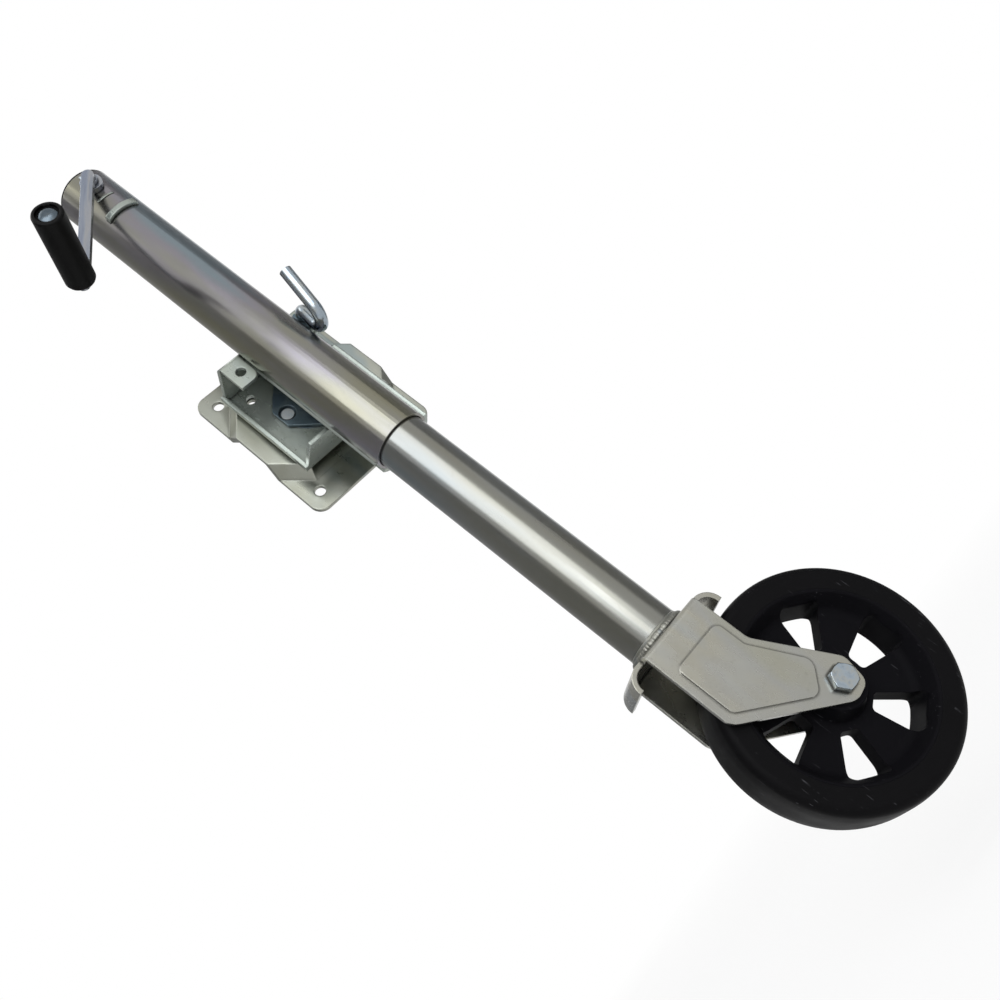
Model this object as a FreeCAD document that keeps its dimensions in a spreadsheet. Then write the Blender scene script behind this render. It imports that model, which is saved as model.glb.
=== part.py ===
"""Swing-up side-wind trailer jack with a jockey wheel.

Millimetres, +Z up. The origin is the centre of the bolt pattern on the mounting face, +Y points
into the trailer's drawbar, +X to the right of a person who faces the jack. The swivel axis runs
along Y through the origin and the jack's tubes stand in front of it.
"""
import FreeCAD
import Part

import math
import os

import Sketcher

doc = FreeCAD.newDocument("TrailerJack")
sheet = doc.addObject("Spreadsheet::Sheet", "Sizes")

# Each size has one cell. The text beside it says what it measures.
SIZES = [
    ("tube_offset", 79, "mounting face to the axis of the jack tubes"),
    ("sheet_thick", 4, "pressed sheet of plate, bracket, saddle and fork"),
    ("play", 0.1, "axial and radial running clearance"),
    ("plate_width", 148, "mounting plate, across"),
    ("plate_height", 176, "mounting plate, upright"),
    ("plate_corner", 12, "mounting plate corner radius"),
    ("bolt_across", 114, "mounting holes, centres across"),
    ("bolt_upright", 140, "mounting holes, centres upright"),
    ("bolt_hole", 10.5, "mounting hole diameter"),
    ("dish_depth", 14, "height of the raised centre over the feet"),
    ("dish_top", 50, "raised centre, half height"),
    ("dish_run", 25, "raised centre, its slanted edge measured across"),
    ("dish_side", 22, "raised centre, half height at the side edge"),
    ("dish_side_in", 1, "slanted edge ends this far inside the plate's side"),
    ("dish_over", 8, "how far the raised form runs over the side before the trim"),
    ("dish_draft", 9, "width of the pressed step wall"),
    ("hub_dia", 69, "pivot hub diameter"),
    ("hub_fit", 0.08, "radial clearance of the bracket on the hub"),
    ("washer_thick", 2.9, "bearing washer thickness"),
    ("washer_width", 13.4, "bearing washer ring width"),
    ("keeper_side", 66, "keeper plate, side of the square"),
    ("keeper_cut", 36, "keeper plate, half width over its cut corners"),
    ("keeper_thick", 4, "keeper plate thickness"),
    ("screw_span", 54, "pivot screws, centre to centre"),
    ("screw_dia", 12, "pivot screw thread"),
    ("screw_proud", 2, "pivot screw end over the hub face"),
    ("window_dia", 17, "window round each pivot screw"),
    ("hex_flats", 19, "M12 hexagon across flats"),
    ("hex_head", 7.5, "M12 head height"),
    ("hex_nut", 10, "M12 nut height"),
    ("thread_fit", 0.05, "radial clearance of a screw in its tapped hole"),
    ("pin_aside", 10, "lock pin axis outside the tube's side"),
    ("lock_hole", 10.6, "lock hole diameter"),
    ("tray_side", 115, "swivel bracket, outer side"),
    ("tray_flange", 10, "swivel bracket, side flange depth"),
    ("cradle_depth", 35, "swivel bracket, lower wall depth"),
    ("cradle_out", 46, "lower wall, half length of its straight front edge"),
    ("ear_reach", 48, "swivel bracket, upper wall depth to the ear face"),
    ("ear_drop", 33.5, "ear height under the top of the bracket"),
    ("ear_inset", 0.5, "ear, inner edge inside the tube's side"),
    ("lock_ear", 22, "ear, from its inner to its outer edge"),
    ("ear_corner", 8, "ear, inner lower corner radius"),
    ("bend_out", 5, "outer radius of the sheet bends"),
    ("tube_dia", 57, "outer tube diameter"),
    ("tube_wall", 2.5, "outer tube wall"),
    ("tube_foot", 125, "pivot to the lower rim of the outer tube"),
    ("tube_head", 303, "pivot to the upper rim of the outer tube"),
    ("saddle_right", 12, "right edge of the saddle past the tube's middle, degrees"),
    ("saddle_left", 42, "left edge of the saddle short of the tube's middle, degrees"),
    ("saddle_top", 21, "pivot to the saddle's shoulders"),
    ("relief_drop", 48.5, "lock pin axis to the foot of the saddle's relief for the handle"),
    ("relief_gap", 0.75, "pushed-in lock handle to the wall of that relief"),
    ("relief_corner", 6, "corner radius of that relief"),
    ("tongue_half", 50, "half angle of the saddle's tongue, degrees"),
    ("weld_gap", 0.1, "gap left between nested pressings"),
    ("crank_under", 23, "upper rim to the crank shaft axis"),
    ("shaft_dia", 14, "crank shaft"),
    ("shaft_fit", 0.05, "radial clearance of the shafts in their bushes"),
    ("bush_wall", 2.5, "crank bush wall"),
    ("bush_flange", 6, "crank bush, length outside the tube"),
    ("bush_flange_dia", 21, "crank bush diameter outside the tube"),
    ("arm_gap", 4, "crank bush to the back of the crank arm"),
    ("arm_thick", 6, "crank arm thickness"),
    ("arm_width", 11, "crank arm width"),
    ("arm_web", 1.5, "metal of the arm in front of the shaft's end"),
    ("spigot_dia", 8, "shaft end that the arm is pressed on"),
    ("arm_left", 85, "grip axis left of the crank shaft at rest"),
    ("arm_down", 104, "grip axis under the crank shaft at rest"),
    ("grip_dia", 27, "grip diameter"),
    ("grip_length", 80, "grip length"),
    ("grip_gap", 1.5, "crank arm to grip"),
    ("grip_recess", 3, "recess in the grip's free end"),
    ("grip_recess_dia", 20, "diameter of that recess"),
    ("spindle_dia", 9, "grip spindle"),
    ("spindle_head", 16, "grip spindle head diameter"),
    ("gear_module", 1.85, "bevel gears, module"),
    ("gear_teeth", 16, "teeth of each bevel gear"),
    ("gear_face", 0.34, "bevel tooth length as a share of the cone distance"),
    ("gear_fill", 0.36, "tooth width as a share of the pitch"),
    ("gear_tip", 1.35, "bevel gears, tooth height over the pitch line"),
    ("gear_root", 2.3, "bevel gears, tooth depth under the pitch line"),
    ("crown_hub", 2.3, "crown gear hub under its teeth"),
    ("bearing_plate_thin", 2, "gear plate thickness"),
    ("plates_apart", 24, "gear plate to thrust plate, middle to middle"),
    ("thrust_plate_thick", 6, "thrust plate thickness"),
    ("tab_wide", 18, "gear plate tab width"),
    ("thrust_tab_wide", 33, "thrust plate tab width"),
    ("tab_proud", 3.5, "thrust plate tab outside the tube"),
    ("slot_fit", 0.15, "clearance of the tabs in their slots"),
    ("slot_room", 1.4, "slot open under each tab"),
    ("screw_od", 20, "lead screw over its thread"),
    ("lead_foot", 92, "pivot to the lower end of the lead screw"),
    ("journal_dia", 14, "lead screw journal"),
    ("collar_dia", 28, "lead screw collar"),
    ("collar_thick", 5, "lead screw collar thickness"),
    ("thrust_thick", 9, "thrust bearing thickness"),
    ("nut_thick", 26, "lead nut length"),
    ("slide_gap", 0.5, "radial clearance of the inner tube in the outer tube"),
    ("inner_wall", 2.5, "inner tube wall"),
    ("inner_top", 35, "pivot to the top of the inner tube, below"),
    ("fork_crown", 400, "pivot to the top face of the fork crown, below"),
    ("fork_gap", 60, "between the fork legs"),
    ("fork_left", 31, "fork leg, left edge from the tube axis"),
    ("fork_right", 32, "fork leg, right edge from the tube axis"),
    ("ear_span", 51, "fork ears, tip from the tube axis"),
    ("ear_wide", 46, "fork ears, width"),
    ("bead_high", 7, "weld bead on the fork crown"),
    ("bead_wide", 3, "weld bead width"),
    ("leg_back", 78, "fork leg, straight part of its left edge"),
    ("leg_front", 50, "fork leg, straight part of its right edge"),
    ("curl_radius", 15, "fork ears, outer radius of their bend"),
    ("panel_top", 25, "embossed panel, top edge under the crown"),
    ("panel_back", 74, "embossed panel, left corner under the crown"),
    ("panel_front", 51, "embossed panel, right corner under the crown"),
    ("panel_proud", 1.2, "embossed panel over the fork leg"),
    ("panel_draft", 0.7, "width of the panel's step"),
    ("axle_trail", 50.5, "wheel axle in front of the tube axis"),
    ("wheel_room", 23, "fork crown to the top of the tyre"),
    ("axle_dia", 12, "axle bolt diameter"),
    ("axle_end", 14, "radius of the fork leg round the axle"),
    ("axle_washer", 24, "axle washer diameter"),
    ("axle_washer_thick", 1.5, "axle washer thickness"),
    ("sleeve_dia", 17, "axle sleeve diameter"),
    ("wheel_dia", 192, "wheel diameter"),
    ("wheel_width", 52, "wheel width"),
    ("wheel_face", 150, "diameter where the tyre meets the rim"),
    ("tyre_shoulder", 8, "tyre shoulder radius"),
    ("tyre_crown", 60, "radius of the tread across the tyre"),
    ("web_half", 9, "half thickness of the wheel's web at the windows"),
    ("hub_outer", 42, "wheel hub diameter"),
    ("hub_half", 28.5, "wheel hub half length"),
    ("spoke_count", 6, "wheel windows"),
    ("window_near", 31, "wheel window, nearest edge from the axle"),
    ("window_far", 67, "wheel window, furthest edge from the axle"),
    ("window_near_half", 7, "wheel window, inner half width"),
    ("window_far_half", 17, "wheel window, outer half width"),
    ("window_corner", 4, "wheel window corner radius"),
    ("window_turn", 4, "wheel window, turn of the first one, degrees"),
    ("pin_dia", 9.8, "lock pin diameter"),
    ("pin_fit", 0.05, "radial clearance of the lock pin in its bush"),
    ("pin_clear", 0.3, "parked pin nose to the raised plate"),
    ("pin_travel", 5, "lock pin travel"),
    ("pin_bush_dia", 20, "lock bush diameter"),
    ("pin_bush_long", 5.5, "lock bush, length in front of the ear"),
    ("notch_wide", 3, "parking notch across the lock bush, width"),
    ("notch_deep", 2, "parking notch depth"),
    ("handle_dia", 12, "lock handle rod"),
    ("handle_gap", 0.5, "pushed-in handle to the lock bush, and its straight start"),
    ("handle_elbow", 8, "lock handle, middle radius of its first bend"),
    ("handle_turn", 13, "lock handle, middle radius of its U-turn"),
    ("handle_left", 14.4, "where the handle's long runs would cross, left of the pin axis"),
    ("handle_down", 115, "where the handle's long runs would cross, under the pin axis"),
    ("handle_right", 17.4, "handle end right of that crossing"),
    ("handle_out", 36.6, "handle end in front of that crossing"),
    ("handle_up", 129.1, "handle end over that crossing"),
    ("pin_collar_dia", 19, "lock pin collar diameter"),
    ("pin_collar_thick", 3, "lock pin collar thickness"),
    ("pin_collar_at", 43, "mounting face to the lock pin collar"),
    ("spring_wire", 1.6, "lock spring wire"),
    ("spring_dia", 15, "lock spring, mean diameter"),
    ("spring_turns", 5, "lock spring turns"),
    ("cap_rim", 3, "top cap rim height"),
    ("cap_skirt", 14, "top cap skirt length"),
    ("cap_wall", 2.5, "top cap wall"),
    ("rivet_dia", 4.5, "cap rivet head diameter"),
    ("through", 400, "length of a cut that passes right through"),
]
for row, (alias, value, meaning) in enumerate(SIZES, start=1):
    sheet.set("A%d" % row, alias)
    sheet.set("B%d" % row, str(value))
    sheet.set("C%d" % row, meaning)
    sheet.setAlias("B%d" % row, alias)
doc.recompute()

CRANK_HIGH = "($tube_head - $crank_under)"
GEAR_PLATE = ("(%s - $gear_module * $gear_teeth / 2 - $crown_hub - $play"
              " - $bearing_plate_thin / 2)" % CRANK_HIGH)
THRUST_PLATE = "(%s - $plates_apart)" % GEAR_PLATE
AXLE_LOW = "($fork_crown + $wheel_room + $wheel_dia / 2)"
LOCK_SIDE = "($tube_dia / 2 + $pin_aside)"
INNER_R = "($tube_dia / 2 - $tube_wall - $slide_gap)"
ARM_BACK = "($tube_dia / 2 + $bush_flange + $arm_gap)"
ARM_FRONT = "(%s + $arm_thick)" % ARM_BACK
BRACKET_BACK = "($dish_depth + $sheet_thick + $washer_thick + $play)"
EAR_FACE = "(%s + $ear_reach)" % BRACKET_BACK
HANDLE_IN = "(%s + $pin_bush_long + $handle_elbow + 2 * $handle_gap)" % EAR_FACE
PIECES = []


def size(alias):
    """The number in the sheet's cell of that name."""
    return float(sheet.get(alias))


def cells(expression):
    """An expression in which $name stands for a cell of the sheet."""
    return expression.replace("$", "Sizes.")


def value_of(expression):
    """The number an expression over the sheet gives now."""
    if isinstance(expression, (int, float)):
        return float(expression)
    result = sheet.evalExpression(cells(expression))
    return float(getattr(result, "Value", result))


def bind(thing, place, expression):
    """Bind one property of an object to the sheet."""
    if isinstance(expression, (int, float)):
        thing.setExpression(place, str(expression))
    else:
        thing.setExpression(place, cells(expression))


def keep(thing, label):
    """Name an object as one of the jack's pieces."""
    thing.Label = label
    PIECES.append(thing)
    return thing


def place(thing, x=0, y=0, z=0):
    """Bind an object's position."""
    for letter, where in zip("xyz", (x, y, z)):
        bind(thing, ".Placement.Base." + letter, where)
    return thing


def on_tube(thing, z=0):
    """Stand an object on the axis of the jack tubes."""
    return place(thing, 0, "-$tube_offset", z)


def body(label):
    """A PartDesign body that is a piece of its own."""
    return keep(doc.addObject("PartDesign::Body", label), label)


def sketch_on(owner, role, lift=0):
    """A sketch on one of its body's own origin planes, lifted along the plane's normal."""
    made = owner.newObject("Sketcher::SketchObject", owner.Name + "_sketch")
    plane = next(f for f in owner.Origin.OriginFeatures if f.Role == role)
    made.AttachmentSupport = [(plane, "")]
    made.MapMode = "FlatFace"
    if lift != 0:
        bind(made, ".AttachmentOffset.Base.z", lift)
    return made


def draw_circle(sketch, radius, x=0, y=0):
    """A circle whose radius and centre follow the sheet."""
    at = FreeCAD.Vector(value_of(x), value_of(y), 0)
    index = sketch.addGeometry(Part.Circle(at, FreeCAD.Vector(0, 0, 1), value_of(radius)), False)
    number = sketch.addConstraint(Sketcher.Constraint("Radius", index, value_of(radius)))
    bind(sketch, "Constraints[%d]" % number, radius)
    pin_point(sketch, index, 3, x, y)


def pin_point(sketch, index, corner, x, y):
    """Hold one point of a sketch at a position given by expressions."""
    for kind, axis, along in (("DistanceX", -2, x), ("DistanceY", -1, y)):
        amount = value_of(along)
        if abs(amount) < 1e-9:
            sketch.addConstraint(Sketcher.Constraint("PointOnObject", index, corner, axis))
            continue
        number = sketch.addConstraint(Sketcher.Constraint(kind, -1, 1, index, corner, amount))
        bind(sketch, "Constraints[%d]" % number, along)


def draw_polygon(sketch, corners):
    """A closed polygon whose corners are pairs of expressions."""
    points = [FreeCAD.Vector(value_of(x), value_of(y), 0) for x, y in corners]
    count = len(points)
    first = None
    for n in range(count):
        line = Part.LineSegment(points[n], points[(n + 1) % count])
        index = sketch.addGeometry(line, False)
        first = index if first is None else first
    for n in range(count):
        sketch.addConstraint(
            Sketcher.Constraint("Coincident", first + n, 2, first + (n + 1) % count, 1)
        )
        pin_point(sketch, first + n, 1, corners[n][0], corners[n][1])


def rounded_wire(corners):
    """A closed list of lines and arcs from (x, y, radius) corners."""
    count = len(corners)
    ends = []
    for n in range(count):
        before = FreeCAD.Vector(*corners[n - 1][:2], 0)
        at = FreeCAD.Vector(*corners[n][:2], 0)
        after = FreeCAD.Vector(*corners[(n + 1) % count][:2], 0)
        radius = corners[n][2]
        back = (before - at).normalize()
        ahead = (after - at).normalize()
        if radius == 0:
            ends.append((at, None, at))
            continue
        half = back.getAngle(ahead) / 2
        cut = radius / math.tan(half)
        middle = (back + ahead).normalize()
        top = at + middle * (radius / math.sin(half) - radius)
        ends.append((at + back * cut, top, at + ahead * cut))
    shapes = []
    for n in range(count):
        start, top, stop = ends[n]
        if top is not None:
            shapes.append(Part.Arc(start, top, stop))
        following = ends[(n + 1) % count][0]
        if (following - stop).Length > 1e-6:
            shapes.append(Part.LineSegment(stop, following))
    return shapes


def draw_rounded(sketch, corners):
    """A closed outline with rounded corners, worked out from the sheet's numbers."""
    for shape in rounded_wire(corners):
        sketch.addGeometry(shape, False)


def feature(owner, kind, sketch, **settings):
    """A PartDesign feature made from a sketch."""
    made = owner.newObject("PartDesign::" + kind, owner.Name + "_" + kind.lower())
    made.Profile = sketch
    for name, setting in settings.items():
        setattr(made, name, setting)
    return made


def pad(owner, sketch, length, flip=False, middle=False):
    """Pad a sketch by a bound length."""
    made = feature(owner, "Pad", sketch, Reversed=flip, Midplane=middle)
    bind(made, "Length", length)
    return made


def pocket(owner, sketch, length, flip=False, middle=False):
    """Pocket a sketch by a bound length."""
    made = feature(owner, "Pocket", sketch, Reversed=flip, Midplane=middle)
    bind(made, "Length", length)
    return made


def turned(label, corners, about):
    """A revolved piece. Corners are (along, radius) pairs, about is Y or Z."""
    made = body(label)
    if about == "Y":
        sketch = sketch_on(made, "YZ_Plane")
        draw_polygon(sketch, corners)
        axis = "H_Axis"
    else:
        sketch = sketch_on(made, "XZ_Plane")
        draw_polygon(sketch, [(radius, along) for along, radius in corners])
        axis = "V_Axis"
    feature(made, "Revolution", sketch, ReferenceAxis=(sketch, [axis]), Angle=360)
    return made


def ring(label, start, stop, inner, outer, about):
    """A revolved ring or, with no inner radius, a rod."""
    return turned(label, [(start, inner), (stop, inner), (stop, outer), (start, outer)], about)


def round_edges(owner, base, radius, test):
    """Fillet the edges of the base for which test(edge) holds."""
    doc.recompute()
    names = ["Edge%d" % (n + 1) for n, edge in enumerate(base.Shape.Edges) if test(edge)]
    made = owner.newObject("PartDesign::Fillet", owner.Name + "_fillet")
    made.Base = (base, names)
    bind(made, "Radius", radius)
    return made


def hexagon(flats, x, y):
    """Corner expressions of a hexagon, points left and right."""
    tall = "(%s) / 2" % flats
    wide = "(%s) / sqrt(3)" % flats
    half = "(%s) / sqrt(3) / 2" % flats
    signs = [(wide, 0), (half, tall), ("-" + half, tall), ("-" + wide, 0)]
    signs += [("-" + half, "-" + tall), (half, "-" + tall)]
    return [("%s + %s" % (x, dx), "%s + %s" % (y, dy)) for dx, dy in signs]


# The mounting plate: flat feet, and a raised centre that runs out at both side edges
plate = body("mounting_plate")
sketch = sketch_on(plate, "XZ_Plane")
half_wide = size("plate_width") / 2
half_tall = size("plate_height") / 2
plate_corner = size("plate_corner")
draw_rounded(sketch, [
    (half_wide, half_tall, plate_corner),
    (-half_wide, half_tall, plate_corner),
    (-half_wide, -half_tall, plate_corner),
    (half_wide, -half_tall, plate_corner),
])
pad(plate, sketch, "$sheet_thick")


def dish_outline(grow):
    """The raised centre's outline, its edges moved outwards by grow."""
    run = size("dish_run")
    fall = size("dish_top") - size("dish_side")
    flat = half_wide - size("dish_side_in") - run
    slope = math.hypot(run, fall)
    shift_x = grow * fall / slope
    shift_y = grow * run / slope
    top = size("dish_top") + grow
    corner_x = flat + shift_x - (grow - shift_y) * run / fall
    side_x = half_wide + size("dish_over")
    side_y = size("dish_top") + shift_y - (side_x - flat - shift_x) * fall / run
    right = [(side_x, -side_y, 0), (side_x, side_y, 0), (corner_x, top, 0)]
    left = [(-x, y, r) for x, y, r in reversed(right)]
    return right + left + [(-corner_x, -top, 0), (corner_x, -top, 0)]


def dish_loft(kind, lifts):
    """Loft between dish outlines, given as (lift, grow) pairs."""
    sections = []
    for lift, grow in lifts:
        section = sketch_on(plate, "XZ_Plane", lift)
        draw_rounded(section, dish_outline(grow))
        sections.append(section)
    made = feature(plate, kind, sections[0], Ruled=True)
    made.Sections = sections[1:]
    return made


wall = size("sheet_thick")
draft = size("dish_draft")
depth = size("dish_depth")
slant = draft / depth
across_wall = wall * math.hypot(1, slant)
dish_loft("AdditiveLoft", [(0, slant * (depth + wall)), (depth + wall, 0)])
dish_loft("SubtractiveLoft", [(-1, slant * (depth + wall + 1) - across_wall),
                              (depth, slant * wall - across_wall)])
trim = sketch_on(plate, "XZ_Plane", -2)
wide = size("plate_width")
tall = size("plate_height")
draw_rounded(trim, [(wide, tall, 0), (-wide, tall, 0), (-wide, -tall, 0), (wide, -tall, 0)])
draw_rounded(trim, [
    (half_wide, half_tall, plate_corner),
    (-half_wide, half_tall, plate_corner),
    (-half_wide, -half_tall, plate_corner),
    (half_wide, -half_tall, plate_corner),
])
pocket(plate, trim, "$dish_depth + $sheet_thick + 5", flip=True)
holes = sketch_on(plate, "XZ_Plane", -2)
for side in ("", "-"):
    for end in ("", "-"):
        draw_circle(holes, "$bolt_hole / 2", side + "$bolt_across / 2", end + "$bolt_upright / 2")
        draw_circle(holes, "$lock_hole / 2", side + LOCK_SIDE, end + LOCK_SIDE)
    draw_circle(holes, "$screw_dia / 2 + 0.3", side + "$screw_span / 2", 0)
pocket(plate, holes, "$dish_depth + $sheet_thick + 5", flip=True)

# The pivot: hub on the raised centre, washer round it, keeper plate on its face, two screws
raised = "($dish_depth + $sheet_thick)"
hub_face = "(%s + $washer_thick + $sheet_thick + 2 * $play)" % raised
hub = body("pivot_hub")
sketch = sketch_on(hub, "XZ_Plane", raised)
draw_circle(sketch, "$hub_dia / 2")
for side in ("", "-"):
    draw_circle(sketch, "$screw_dia / 2 + $thread_fit", side + "$screw_span / 2", 0)
pad(hub, sketch, hub_face + " - " + raised)

washer = body("bearing_washer")
sketch = sketch_on(washer, "XZ_Plane", raised)
draw_circle(sketch, "$hub_dia / 2 + $hub_fit")
draw_circle(sketch, "$hub_dia / 2 + $hub_fit + $washer_width")
pad(washer, sketch, "$washer_thick")

keeper = body("keeper_plate")
sketch = sketch_on(keeper, "XZ_Plane", hub_face)
tip = size("keeper_side") / math.sqrt(2)
cut = size("keeper_cut")
draw_rounded(sketch, [
    (0, tip, 3), (-cut, tip - cut, 4), (-cut, cut - tip, 4),
    (0, -tip, 3), (cut, cut - tip, 4), (cut, tip - cut, 4),
])
for side in ("", "-"):
    draw_circle(sketch, "$window_dia / 2", side + "$screw_span / 2", 0)
pad(keeper, sketch, "$keeper_thick")

screws = []
for name, side in (("left", "-"), ("right", "")):
    shank = doc.addObject("Part::Cylinder", "shank_" + name)
    bind(shank, "Radius", "$screw_dia / 2")
    bind(shank, "Height", "%s - $dish_depth + $screw_proud" % hub_face)
    shank.Placement.Rotation = FreeCAD.Rotation(FreeCAD.Vector(1, 0, 0), 90)
    place(shank, side + "$screw_span / 2", "-$dish_depth", 0)
    head = doc.addObject("Part::Prism", "head_" + name)
    head.Polygon = 6
    bind(head, "Circumradius", "$hex_flats / sqrt(3)")
    bind(head, "Height", "$hex_head")
    head.Placement.Rotation = FreeCAD.Rotation(FreeCAD.Vector(1, 0, 0), 90)
    place(head, side + "$screw_span / 2", "-$dish_depth + $hex_head", 0)
    joined = doc.addObject("Part::Fuse", "pivot_screw_" + name)
    joined.Base = head
    joined.Tool = shank
    screws.append(joined)
pair = doc.addObject("Part::Compound", "pivot_screws")
pair.Links = screws
keep(pair, "pivot_screws")

# The swivel bracket: a square tray bent from sheet, its upper wall carries two ears
half_tray = size("tray_side") / 2
bracket = body("swivel_bracket")
sketch = sketch_on(bracket, "XZ_Plane", BRACKET_BACK)
draw_polygon(sketch, [
    ("$tray_side / 2", "$tray_side / 2"), ("-$tray_side / 2", "$tray_side / 2"),
    ("-$tray_side / 2", "-$tray_side / 2"), ("$tray_side / 2", "-$tray_side / 2"),
])
pad(bracket, sketch, "$sheet_thick")
flanges = sketch_on(bracket, "XY_Plane")
back_y = -value_of(BRACKET_BACK)
side_y = back_y - size("tray_flange")
for sign in (1, -1):
    out = sign * half_tray
    inner = sign * (half_tray - wall)
    draw_rounded(flanges, [
        (out, back_y, 0), (inner, back_y, 0), (inner, side_y, 0), (out, side_y, 0),
    ])
pad(bracket, flanges, "$tray_side", middle=True)

lower = sketch_on(bracket, "XY_Plane", "-$tray_side / 2")
axis_y = -size("tube_offset")
cradle = size("tube_dia") / 2 + wall + size("weld_gap")
front = back_y - size("cradle_depth")
reach = math.sqrt(cradle ** 2 - (front - axis_y) ** 2)
out = size("cradle_out")
for start, stop in (
    ((reach, front), (out, front)),
    ((out, front), (out + 3, front + 5)),
    ((out + 3, front + 5), (half_tray - 3, side_y + 1)),
    ((half_tray - 3, side_y + 1), (half_tray - 3, back_y)),
    ((half_tray - 3, back_y), (3 - half_tray, back_y)),
    ((3 - half_tray, back_y), (3 - half_tray, side_y + 1)),
    ((3 - half_tray, side_y + 1), (-out - 3, front + 5)),
    ((-out - 3, front + 5), (-out, front)),
    ((-out, front), (-reach, front)),
):
    lower.addGeometry(Part.LineSegment(
        FreeCAD.Vector(*start, 0), FreeCAD.Vector(*stop, 0)), False)
lower.addGeometry(Part.Arc(
    FreeCAD.Vector(-reach, front, 0), FreeCAD.Vector(0, axis_y + cradle, 0),
    FreeCAD.Vector(reach, front, 0)), False)
pad(bracket, lower, "$sheet_thick")

upper = sketch_on(bracket, "XY_Plane", "$tray_side / 2 - $sheet_thick")
notch = size("tube_dia") / 2 + size("weld_gap")
front = back_y - size("ear_reach")
reach = math.sqrt(notch ** 2 - (front - axis_y) ** 2)
ear_in = size("tube_dia") / 2 - size("ear_inset")
ear_out = ear_in + size("lock_ear")
for start, stop in (
    ((reach, front), (ear_out + 1, front)),
    ((ear_out + 1, front), (half_tray - 3, side_y)),
    ((half_tray - 3, side_y), (half_tray - 3, back_y)),
    ((half_tray - 3, back_y), (3 - half_tray, back_y)),
    ((3 - half_tray, back_y), (3 - half_tray, side_y)),
    ((3 - half_tray, side_y), (-ear_out - 1, front)),
    ((-ear_out - 1, front), (-reach, front)),
):
    upper.addGeometry(Part.LineSegment(
        FreeCAD.Vector(*start, 0), FreeCAD.Vector(*stop, 0)), False)
upper.addGeometry(Part.Arc(
    FreeCAD.Vector(-reach, front, 0), FreeCAD.Vector(0, axis_y + notch, 0),
    FreeCAD.Vector(reach, front, 0)), False)
pad(bracket, upper, "$sheet_thick")

ears = sketch_on(bracket, "XZ_Plane", EAR_FACE + " - $sheet_thick")
ear_foot = half_tray - size("ear_drop")
for sign in (1, -1):
    draw_rounded(ears, [
        (sign * ear_in, half_tray, 0), (sign * ear_in, ear_foot, size("ear_corner")),
        (sign * ear_out, ear_foot, 0), (sign * ear_out, half_tray, 0),
    ])
pad(bracket, ears, "$sheet_thick")
bores = sketch_on(bracket, "XZ_Plane", "%s - 1" % BRACKET_BACK)
draw_circle(bores, "$hub_dia / 2 + $hub_fit")
for side in ("", "-"):
    draw_circle(bores, "$pin_dia / 2 + $pin_fit", side + LOCK_SIDE, LOCK_SIDE)
last = pocket(bracket, bores, "$ear_reach + $sheet_thick + 5", flip=True)


def bracket_bend(edge):
    """The straight outer edges along which the bracket's sheet is bent."""
    if edge.Length < 20 or not isinstance(edge.Curve, (Part.Line, Part.LineSegment)):
        return False
    low = edge.BoundBox
    at_back = abs(low.YMin - back_y) < 0.01 and abs(low.YMax - back_y) < 0.01
    on_side = abs(abs(low.XMin) - half_tray) < 0.01 and low.XLength < 0.01
    on_end = abs(abs(low.ZMin) - half_tray) < 0.01 and low.ZLength < 0.01
    front_edge = abs(low.YMin - value_of("-" + EAR_FACE)) < 0.01 and low.YLength < 0.01
    return (at_back and (on_side or on_end)) or (front_edge and on_end and low.XLength > 10)


round_edges(bracket, last, "$bend_out", bracket_bend)

# The saddle: sheet rolled round the back of the outer tube, with a tongue up to the bracket
saddle = body("saddle")


def band(sketch, inner, outer, low, high):
    """An arc band about the sketch's origin, angles in degrees."""
    middle = math.radians((low + high) / 2)
    low = math.radians(low)
    high = math.radians(high)

    def at(radius, angle):
        return FreeCAD.Vector(radius * math.cos(angle), radius * math.sin(angle), 0)

    sketch.addGeometry(Part.Arc(at(outer, low), at(outer, middle), at(outer, high)), False)
    sketch.addGeometry(Part.LineSegment(at(outer, high), at(inner, high)), False)
    sketch.addGeometry(Part.Arc(at(inner, high), at(inner, middle), at(inner, low)), False)
    sketch.addGeometry(Part.LineSegment(at(inner, low), at(outer, low)), False)


tube_r = size("tube_dia") / 2
saddle_in = tube_r + 0.02
sketch = sketch_on(saddle, "XY_Plane", "-$tube_foot")
band(sketch, saddle_in, tube_r + wall, -size("saddle_right"), 180 - size("saddle_left"))
pad(saddle, sketch, "$tube_foot + $saddle_top")
tongue = sketch_on(saddle, "XY_Plane", "-$tube_foot + 10")
band(tongue, saddle_in, tube_r + wall, 90 - size("tongue_half"), 90 + size("tongue_half"))
pad(saddle, tongue, "$tube_foot - 10 + $tray_side / 2 - $sheet_thick - $weld_gap")
relief = sketch_on(saddle, "YZ_Plane")
edge_y = -(tube_r + wall) * math.sin(math.radians(size("saddle_right"))) - 1
wall_y = value_of("$tube_offset - (%s) + $handle_dia / 2 + $relief_gap" % HANDLE_IN)
foot_z = value_of(LOCK_SIDE + " - $relief_drop")
top_z = size("saddle_top")
corner = size("relief_corner")
draw_rounded(relief, [
    (edge_y - corner, foot_z - corner, 0), (edge_y, foot_z - corner, 0), (edge_y, foot_z, corner),
    (wall_y, foot_z, corner), (wall_y, top_z, corner), (wall_y + corner, top_z, 0),
    (wall_y + corner, top_z + corner, 0), (edge_y - corner, top_z + corner, 0),
])
pocket(saddle, relief, "$through", middle=True)
on_tube(saddle)

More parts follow.
